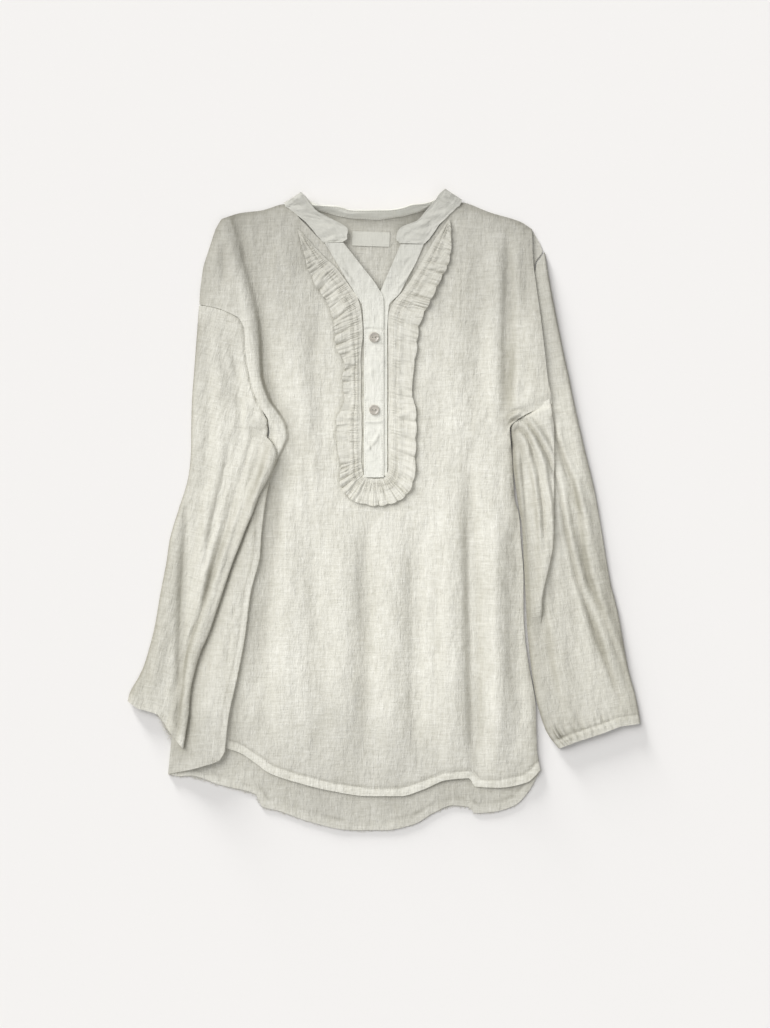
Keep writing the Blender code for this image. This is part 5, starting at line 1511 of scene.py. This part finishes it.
class BLOUSE_OT_back(bpy.types.Operator):
    """Build the back panel"""

    bl_idname = "blouse.back"
    bl_label = "Back"

    def execute(self, context):
        grid = back_surface()
        # painted shade from slopes, hollows, outlines and a line along the hem, and painted light on the
        # hem's band
        shade = fold_shade(grid) + BACK_EDGE * edge_shade(grid, FRONT_HEM, SIDE_RIGHT, BACK_NECK)
        hem = from_line(grid, BACK_HEM)
        shade += BACK_HEM_LINE[0] * bell(hem - HEM_WIDTH, BACK_HEM_LINE[1])
        piece = cloth_shell("back_cloth", grid, flat_map(grid), WALL, cloth_material("back_linen"),
                            shade=shade, bright=BACK_HEM_BRIGHT * ease((HEM_WIDTH - hem) / 2.0))
        declare("back")
        return {"FINISHED"}


class BLOUSE_OT_front(bpy.types.Operator):
    """Build the front panel with its lap and placket slit"""

    bl_idname = "blouse.front"
    bl_label = "Front"

    def execute(self, context):
        grid, keep = front_surface()
        x, y = grid[..., 0], grid[..., 1]
        # painted shade: beside the lap, in folds except along the seams, on the outlines and along the
        # ruffle's edge
        right = x - lap_at(y)[1]
        lap = LAP_SHADE[0] * np.exp(-np.abs(right - 3.0) / LAP_SHADE[1]) * ease((right + 2.0) / 4.0)
        free, over = FRONT_SEAM
        seams = 1.0 - free * np.maximum(beside(grid, LEFT_SEAM, over), beside(grid, SEAM_RIGHT, over))
        shade = seams * fold_shade(grid) + lap + edge_shade(
            grid, SHOULDER_LEFT, LEFT_EDGE, SHOULDER_RIGHT, FOLD_RIGHT, SIDE_RIGHT)
        shade += RUFFLE_SHADOW[0] * beside(grid, np.asarray(RUFFLE, float)[:, 2:], RUFFLE_SHADOW[1])
        # painted shadow of the left sleeve on the folded part, above which they touch
        under = from_line(grid, SLEEVE_OUTLINES["left"][1] + (CUFF_LEFT[-1],))
        deep, over = SLEEVE_SHADOW
        shade += deep * np.exp(-under / over) * ease((70.0 - y) / 40.0) * (right < 0.0)
        # the hem gets painted light as a band, with a line of painted shade along its seam
        hem = from_line(grid, FRONT_HEM[1:])
        shown = ease((x - HEM_START) / 4.0)
        bright = HEM_BRIGHT * ease((HEM_WIDTH + 0.5 - hem) / 1.5) * shown
        deep, above, over = HEM_LINE
        shade += deep * bell(hem - HEM_WIDTH - above, over) * shown
        # and so does the strip of the folded part beside the lap
        folded = (right < 0.0) * ease((20.0 - y) / 50.0)
        wide, over, deep, light = FOLDED_STRIP
        shade += deep * bell(right + wide, over) * folded
        bright = np.maximum(bright, light * ease((right + wide - 0.5) / over) * folded)
        # painted light lessens the painted shade
        shade *= 1.0 - 0.5 * bright
        piece = cloth_shell("front_cloth", grid, flat_map(grid), thickness_mm(),
                            cloth_material("front_linen"), keep, shade=shade, bright=bright)
        declare("front")
        return {"FINISHED"}


class BLOUSE_OT_sleeves(bpy.types.Operator):
    """Build both sleeves"""

    bl_idname = "blouse.sleeves"
    bl_label = "Sleeves"

    def execute(self, context):
        for side, surface, grain in (("left", left_sleeve_surface, LEFT_GRAIN),
                                     ("right", right_sleeve_surface, RIGHT_GRAIN)):
            grid = surface()
            seam, depth, cuff = SLEEVE_SHADES[side]
            y = grid[..., 1]
            # painted shade in folds, less along the seam and the left rim, more on the outlines and towards
            # the cuff
            rim = beside(grid, SLEEVE_OUTLINES[side][1], SLEEVE_RIM) * (side == "left")
            free, over = SLEEVE_SEAM
            shade = (1.0 - free * np.maximum(beside(grid, seam, over), rim)) * fold_shade(grid)
            shade += edge_shade(grid, *SLEEVE_OUTLINES[side]) + depth * ease((40.0 - y) / 130.0)
            if side == "left":
                # painted shade beyond the left sleeve's valley and along it
                outside = x_along(y, LEFT_VALLEY) - grid[..., 0]
                shade += VALLEY_OUTSIDE * ease(outside / 10.0 + 0.5) * ease((-20.0 - y) / 90.0)
                shade += VALLEY_LINE[0] * bell(outside, VALLEY_LINE[1]) * ease((20.0 - y) / 90.0)
            else:
                # painted shadow beside the body below the right armpit
                armpit = ease((112.0 - y) / 14.0) * ease((y + 170.0) / 120.0)
                shade += ARMPIT_SHADOW[0] * beside(grid, SIDE_RIGHT, ARMPIT_SHADOW[1]) * armpit
            # painted light on the cuff
            edge = from_line(grid, cuff)
            bright = CUFF_BRIGHT * ease((CASING - edge) / 2.0)
            piece = cloth_shell(f"sleeve_{side}_cloth", grid, flat_map(grid, grain),
                                thickness_mm(), cloth_material(f"sleeve_{side}_linen"),
                                closed=True, shade=shade * (1.0 - 0.5 * bright), bright=bright)
            declare(f"sleeve_{side}")
        return {"FINISHED"}


class BLOUSE_OT_collar(bpy.types.Operator):
    """Build the stand collar"""

    bl_idname = "blouse.collar"
    bl_label = "Collar"

    def execute(self, context):
        grid = collar_surface()
        # painted shade in its folds, none on the standing back band, which painted light keeps bright
        standing = ease((5.0 - grid[:, :1, 2]) / 2.0)
        shade = fold_shade(grid) * 2.0 * COLLAR_SHADE * (1.0 - standing)
        piece = cloth_shell("collar_cloth", grid, run_map(grid), COLLAR_WALL,
                            band_material("collar_linen"), shade=shade,
                            bright=COLLAR_BRIGHT + (1.0 - COLLAR_BRIGHT) * standing)
        declare("collar_band")
        return {"FINISHED"}


class BLOUSE_OT_placket(bpy.types.Operator):
    """Build the two strips of the placket"""

    bl_idname = "blouse.placket"
    bl_label = "Placket"

    def execute(self, context):
        level = FRONT_LOW + LOFT + LAYER + STRIP_REST
        strips = (("placket_under", PLACKET_UNDER, level, 51, ("front",), UNDER_CREASED),
                  ("placket_over", PLACKET_OVER, level + LAYER, 52, ("placket_under",), None))
        low, high = STRIP_BRIGHT
        for node, table, height, seed, under, creased in strips:
            grid = strip_surface(table, height, seed, creased)
            # painted light, more at the bottom of the placket than at its top
            bright = low - (low - high) * ease((grid[..., 1] - 200.0) / 80.0)
            piece = cloth_shell(node + "_cloth", grid, flat_map(grid), WALL,
                                band_material(node + "_linen"), bright=bright)
            declare(node)
        return {"FINISHED"}


class BLOUSE_OT_ruffle(bpy.types.Operator):
    """Build the gathered ruffle"""

    bl_idname = "blouse.ruffle"
    bl_label = "Ruffle"

    def execute(self, context):
        w = np.linspace(0.0, 1.0, RUFFLE_WAVES * RUFFLE_FINE + 1)
        share = np.linspace(RUFFLE_START, 1.0, RUFFLE_ACROSS)
        grid = ruffle_surface(w, share[None, :])
        # painted shade in its folds and along its outer edge, less at the bottom, where more painted light
        # keeps it bright
        low = ease((60.0 - grid[..., 1]) / 50.0)
        deep, most = RUFFLE_SHADE
        shade = np.minimum(deep * fold_shade(grid, 2), most)
        shade = (shade + RUFFLE_EDGE * ease((share - 0.93) / 0.07)) * (1.0 - RUFFLE_PALE * low)
        piece = cloth_shell("ruffle_cloth", grid, run_map(grid), RUFFLE_CLOTH,
                            cloth_material("ruffle_linen", 0.5), shade=shade,
                            bright=RUFFLE_BRIGHT[0] + RUFFLE_BRIGHT[1] * low)
        declare("ruffle")
        return {"FINISHED"}


class BLOUSE_OT_label(bpy.types.Operator):
    """Build the blank label"""

    bl_idname = "blouse.label"
    bl_label = "Label"

    def execute(self, context):
        width, depth, thick = LABEL_SIZE
        x, y = np.meshgrid(np.linspace(-width / 2, width / 2, 60),
                           np.linspace(depth / 2, -depth / 2, 24))
        tilt = math.radians(LABEL_TILT)
        z = WALL + GAP + thick / 2 + 0.25 * np.cos(x / 9.0) * np.cos(y / 7.0)
        grid = np.stack([x * math.cos(tilt) - y * math.sin(tilt) + LABEL_CENTRE[0],
                         x * math.sin(tilt) + y * math.cos(tilt) + LABEL_CENTRE[1], z], axis=-1)
        tape = bpy.context.scene.blouse_trim.tape
        dark = tuple(c * 0.85 for c in tape)
        material = linen("label_tape", tape, dark, 0.4, 0.3)
        # painted light keeps the label partly out of the greying by height
        piece = cloth_shell("label_cloth", grid, flat_map(grid), thick * 0.7, material,
                            bright=LABEL_BRIGHT)
        declare("neck_label")
        return {"FINISHED"}


def turned_button(name, y, level, material):
    """Two-hole button: a profile turned about the vertical, drilled through twice."""
    radius, top = BUTTON_DIAMETER / 2, BUTTON_THICKNESS
    profile = np.array(((0.55, 0.0), (0.80, 0.06), (0.95, 0.35), (1.0, 0.95), (0.99, top - 0.5),
                        (0.95, top - 0.15), (0.88, top), (0.80, top - 0.04), (0.72, top - 0.3),
                        (0.62, top - 0.62), (0.50, top - 0.75), (0.25, top - 0.8)))
    angle = np.linspace(0.0, 2.0 * math.pi, 64, endpoint=False)[None, :]
    r = profile[:, 0:1] * radius
    z = np.broadcast_to(profile[:, 1:2], (len(profile), 64)) + level
    points = np.stack([r * np.cos(angle) + BUTTON_X, r * np.sin(angle) + y, z], axis=-1)
    index = np.arange(points.shape[0] * 64).reshape(-1, 64)
    points = (points.reshape(-1, 3) - (CENTRE_X, CENTRE_Y, 0.0)) * MM
    caps = np.stack([index[0, ::-1], index[-1]])
    button = mesh_piece(name, points, [ring_quads(index), caps], points[:, :2], material, smooth=40.0)
    drills = []
    for side in (-1, 1):
        bm = bmesh.new()
        place = Matrix.Translation(((BUTTON_X - CENTRE_X + side * BUTTON_HOLE_SPACING / 2) * MM,
                                    (y - CENTRE_Y) * MM, level * MM))
        bmesh.ops.create_cone(bm, cap_ends=True, segments=24, radius1=BUTTON_HOLE / 2 * MM,
                              radius2=BUTTON_HOLE / 2 * MM, depth=0.01, matrix=place)
        mesh = bpy.data.meshes.new(name + "_drill")
        bm.to_mesh(mesh)
        bm.free()
        drill = add_object(name + "_drill", mesh)
        cut = button.modifiers.new("hole", "BOOLEAN")
        cut.operation = "DIFFERENCE"
        cut.object = drill
        drills.append(drill)
    bpy.context.view_layer.update()
    drilled = bpy.data.meshes.new_from_object(
        button.evaluated_get(bpy.context.evaluated_depsgraph_get()))
    button.modifiers.clear()
    button.data = drilled
    for drill in drills:
        bpy.data.objects.remove(drill)
    return button


class BLOUSE_OT_buttons(bpy.types.Operator):
    """Build the buttons and the thread through their holes"""

    bl_idname = "blouse.buttons"
    bl_label = "Buttons"

    def execute(self, context):
        trim = context.scene.blouse_trim
        level = FRONT_LOW + LOFT + 2 * LAYER + STRIP_REST + WALL / 2 + GAP
        thread = thread_material("button_thread", trim.thread)
        half = BUTTON_HOLE_SPACING / 2
        for node, y in zip(("button_lower", "button_upper"), BUTTON_Y):
            piece = turned_button(node + "_shell", y, level, shell_material(node, trim.button))
            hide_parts(node)
            lines = []
            for shift in BUTTON_STRANDS:
                way = np.linspace(-1.0, 1.0, 24)
                z = level + BUTTON_THICKNESS - 0.55 - 1.6 * np.maximum(np.abs(way) - 0.75, 0.0) * 4
                lines.append(np.stack([BUTTON_X + half * way, np.full_like(way, y + shift), z],
                                      axis=-1))
            points, faces = stitches(lines, *BUTTON_STITCH)
            thread_piece(node + "_thread", points, faces, thread)
        return {"FINISHED"}


def offset_line(line, shift):
    """A line moved sideways, to its right as it runs, by the shift."""
    line = np.asarray(line, float)
    along = unit(np.gradient(line, axis=0))
    return line + shift * np.stack([along[:, 1], -along[:, 0]], axis=-1)


class BLOUSE_OT_sewing(bpy.types.Operator):
    """Sew the front's hem, the placket, the ruffle and the collar"""

    bl_idname = "blouse.sewing"
    bl_label = "Sewing"

    def execute(self, context):
        thread = thread_material("sewing_thread", context.scene.blouse_trim.thread)
        lift = thickness_mm() / 2 + SEWING_LIFT

        def on_front(x, y):
            return front_level(x, y) + folds(x, y, FRONT_CREASES) + lift

        hem = line_on(on_front, offset_line(FRONT_HEM[2:], -HEM_WIDTH))
        sew("hem_sewing", [hem], thread)
        over = FRONT_LOW + LOFT + 2 * LAYER + STRIP_REST + WALL / 2 + SEWING_LIFT

        def on_strip(x, y):
            return np.full_like(x, over)

        rows = np.asarray(PLACKET_OVER, float)
        edges = []
        for column, inwards in ((1, 1.8), (2, -1.8)):
            line = np.stack([rows[:, column] + inwards, rows[:, 0]], axis=-1)
            edges.append(line_on(on_strip, line))
        sew("placket_sewing", edges, thread)
        w = np.linspace(0.0, 1.0, 1200)
        lift_off = np.array((0.0, 0.0, 0.4 + SEWING_LIFT))
        heading = [ruffle_surface(w, np.array([[share]]))[:, 0] + lift_off
                   for share in (0.08, 0.26)]
        sew("ruffle_sewing", heading, thread)
        grid = collar_surface()
        normal = unit(np.cross(np.gradient(grid, axis=0), np.gradient(grid, axis=1)))
        outer = grid + normal * (COLLAR_WALL / 2 + SEWING_LIFT)
        columns = [round(place * (COLLAR_STEPS[1] - 1)) for place in COLLAR_SEWN]
        sew("collar_sewing", [outer[:, column] for column in columns], thread)
        return {"FINISHED"}


class BLOUSE_OT_fray(bpy.types.Operator):
    """Fray the raw edges of the back's hem and the left cuff"""

    bl_idname = "blouse.fray"
    bl_label = "Frayed edges"

    def execute(self, context):
        thread = thread_material("frayed_thread", context.scene.blouse_trim.thread)
        ways = np.linspace(0.0, 1.0, 400)
        # each raw edge, its level, the spacing of its threads, their reach and their seed
        edges = ((BACK_HEM, BACK_LEVEL, 0.8, 3.6, 61),
                 (CUFF_LEFT[3:], BACK_LEVEL + 1.5, 0.5, 5.0, 62),
                 (CUFF_LEFT[4:], BACK_LEVEL + 2.0, 0.3, 9.0, 65),
                 (FLAP_HEM[:3], FRONT_LOW + 1.0, 0.9, 4.0, 63),
                 (CUFF_RIGHT[::-1][1:3], BACK_LEVEL + 1.4, 1.4, 2.2, 64))
        parts = [loose_threads(along_line(edge, ways), level, spacing, reach, seed)
                 for edge, level, spacing, reach, seed in edges]
        starts = np.cumsum([0] + [len(points) for points, _ in parts])
        points = np.concatenate([points for points, _ in parts])
        faces = np.concatenate([faces + start for (_, faces), start in zip(parts, starts)])
        thread_piece("loose_threads", points, faces, thread)
        return {"FINISHED"}


class BLOUSE_OT_stage(bpy.types.Operator):
    """Lay the floor, set the lights and the camera"""

    bl_idname = "blouse.stage"
    bl_label = "Floor, lights and camera"

    def execute(self, context):
        studio = context.scene.blouse_studio
        mesh = bpy.data.meshes.new("floor")
        corners = ((-1, -1), (1, -1), (1, 1), (-1, 1))
        mesh.from_pydata([(x * FLOOR_HALF, y * FLOOR_HALF, FLOOR_Z) for x, y in corners], [],
                         [(0, 1, 2, 3)])
        mesh.materials.append(floor_material("floor_paper", studio.floor))
        floor = add_object("floor", mesh)
        world = bpy.data.worlds.new("studio")
        world.use_nodes = True
        back = world.node_tree.nodes["Background"]
        back.inputs["Color"].default_value = (1.0, 1.0, 1.0, 1.0)
        back.inputs["Strength"].default_value = studio.fill
        context.scene.world = world
        floor_only = bpy.data.collections.new("floor_only")
        floor_only.objects.link(floor)
        for name, place, spread, power in LIGHTS:
            data = bpy.data.lights.new(name, "SUN")
            data.angle = math.radians(spread)
            data.energy = studio.key * power
            light = add_object(name, data)
            light.location = place
            light.rotation_euler = (-Vector(place)).to_track_quat("-Z", "Y").to_euler()
            # the low one only casts the garment's shadow on the floor
            if name == "low_light":
                light.light_linking.receiver_collection = floor_only
        data = bpy.data.cameras.new("camera")
        camera = add_object("camera", data)
        camera.location = ((PHOTO_CENTRE[0] - CENTRE_X) * MM, (PHOTO_CENTRE[1] - CENTRE_Y) * MM,
                           studio.camera_height)
        data.sensor_width = 36.0
        data.lens = data.sensor_width * studio.camera_height / (PHOTO_HEIGHT_PX * PIXEL * MM)
        context.scene.camera = camera
        context.scene.view_settings.view_transform = "Standard"
        return {"FINISHED"}


class BLOUSE_PT_panel(bpy.types.Panel):
    """Sizes, colours and the steps that build the blouse"""

    bl_label = "Smock Blouse"
    bl_idname = "BLOUSE_PT_panel"
    bl_space_type = "VIEW_3D"
    bl_region_type = "UI"
    bl_category = "Blouse"

    def draw(self, context):
        layout = self.layout
        for settings in (context.scene.blouse_cloth, context.scene.blouse_trim,
                         context.scene.blouse_studio):
            box = layout.box()
            for key in settings.__annotations__:
                box.prop(settings, key)
        for operator in OPERATORS:
            layout.operator(operator.bl_idname)


OPERATORS = (BLOUSE_OT_back, BLOUSE_OT_front, BLOUSE_OT_sleeves, BLOUSE_OT_collar,
             BLOUSE_OT_placket, BLOUSE_OT_ruffle, BLOUSE_OT_label, BLOUSE_OT_buttons,
             BLOUSE_OT_sewing, BLOUSE_OT_fray, BLOUSE_OT_stage)
SETTINGS = (("blouse_cloth", ClothSettings), ("blouse_trim", TrimSettings),
            ("blouse_studio", StudioSettings))


def register():
    """Register the settings, the operators and the panel."""
    for name, group in SETTINGS:
        bpy.utils.register_class(group)
        setattr(bpy.types.Scene, name, bpy.props.PointerProperty(type=group))
    for operator in OPERATORS:
        bpy.utils.register_class(operator)
    bpy.utils.register_class(BLOUSE_PT_panel)


def unregister():
    """Take back what register has added."""
    bpy.utils.unregister_class(BLOUSE_PT_panel)
    for operator in reversed(OPERATORS):
        bpy.utils.unregister_class(operator)
    for name, group in reversed(SETTINGS):
        delattr(bpy.types.Scene, name)
        bpy.utils.unregister_class(group)


def main():
    """Build every piece and the stage."""
    register()
    for step in ("back", "front", "sleeves", "collar", "placket", "ruffle", "label", "buttons",
                 "sewing", "fray", "stage"):
        getattr(bpy.ops.blouse, step)()


if __name__ == "__main__":
    main()
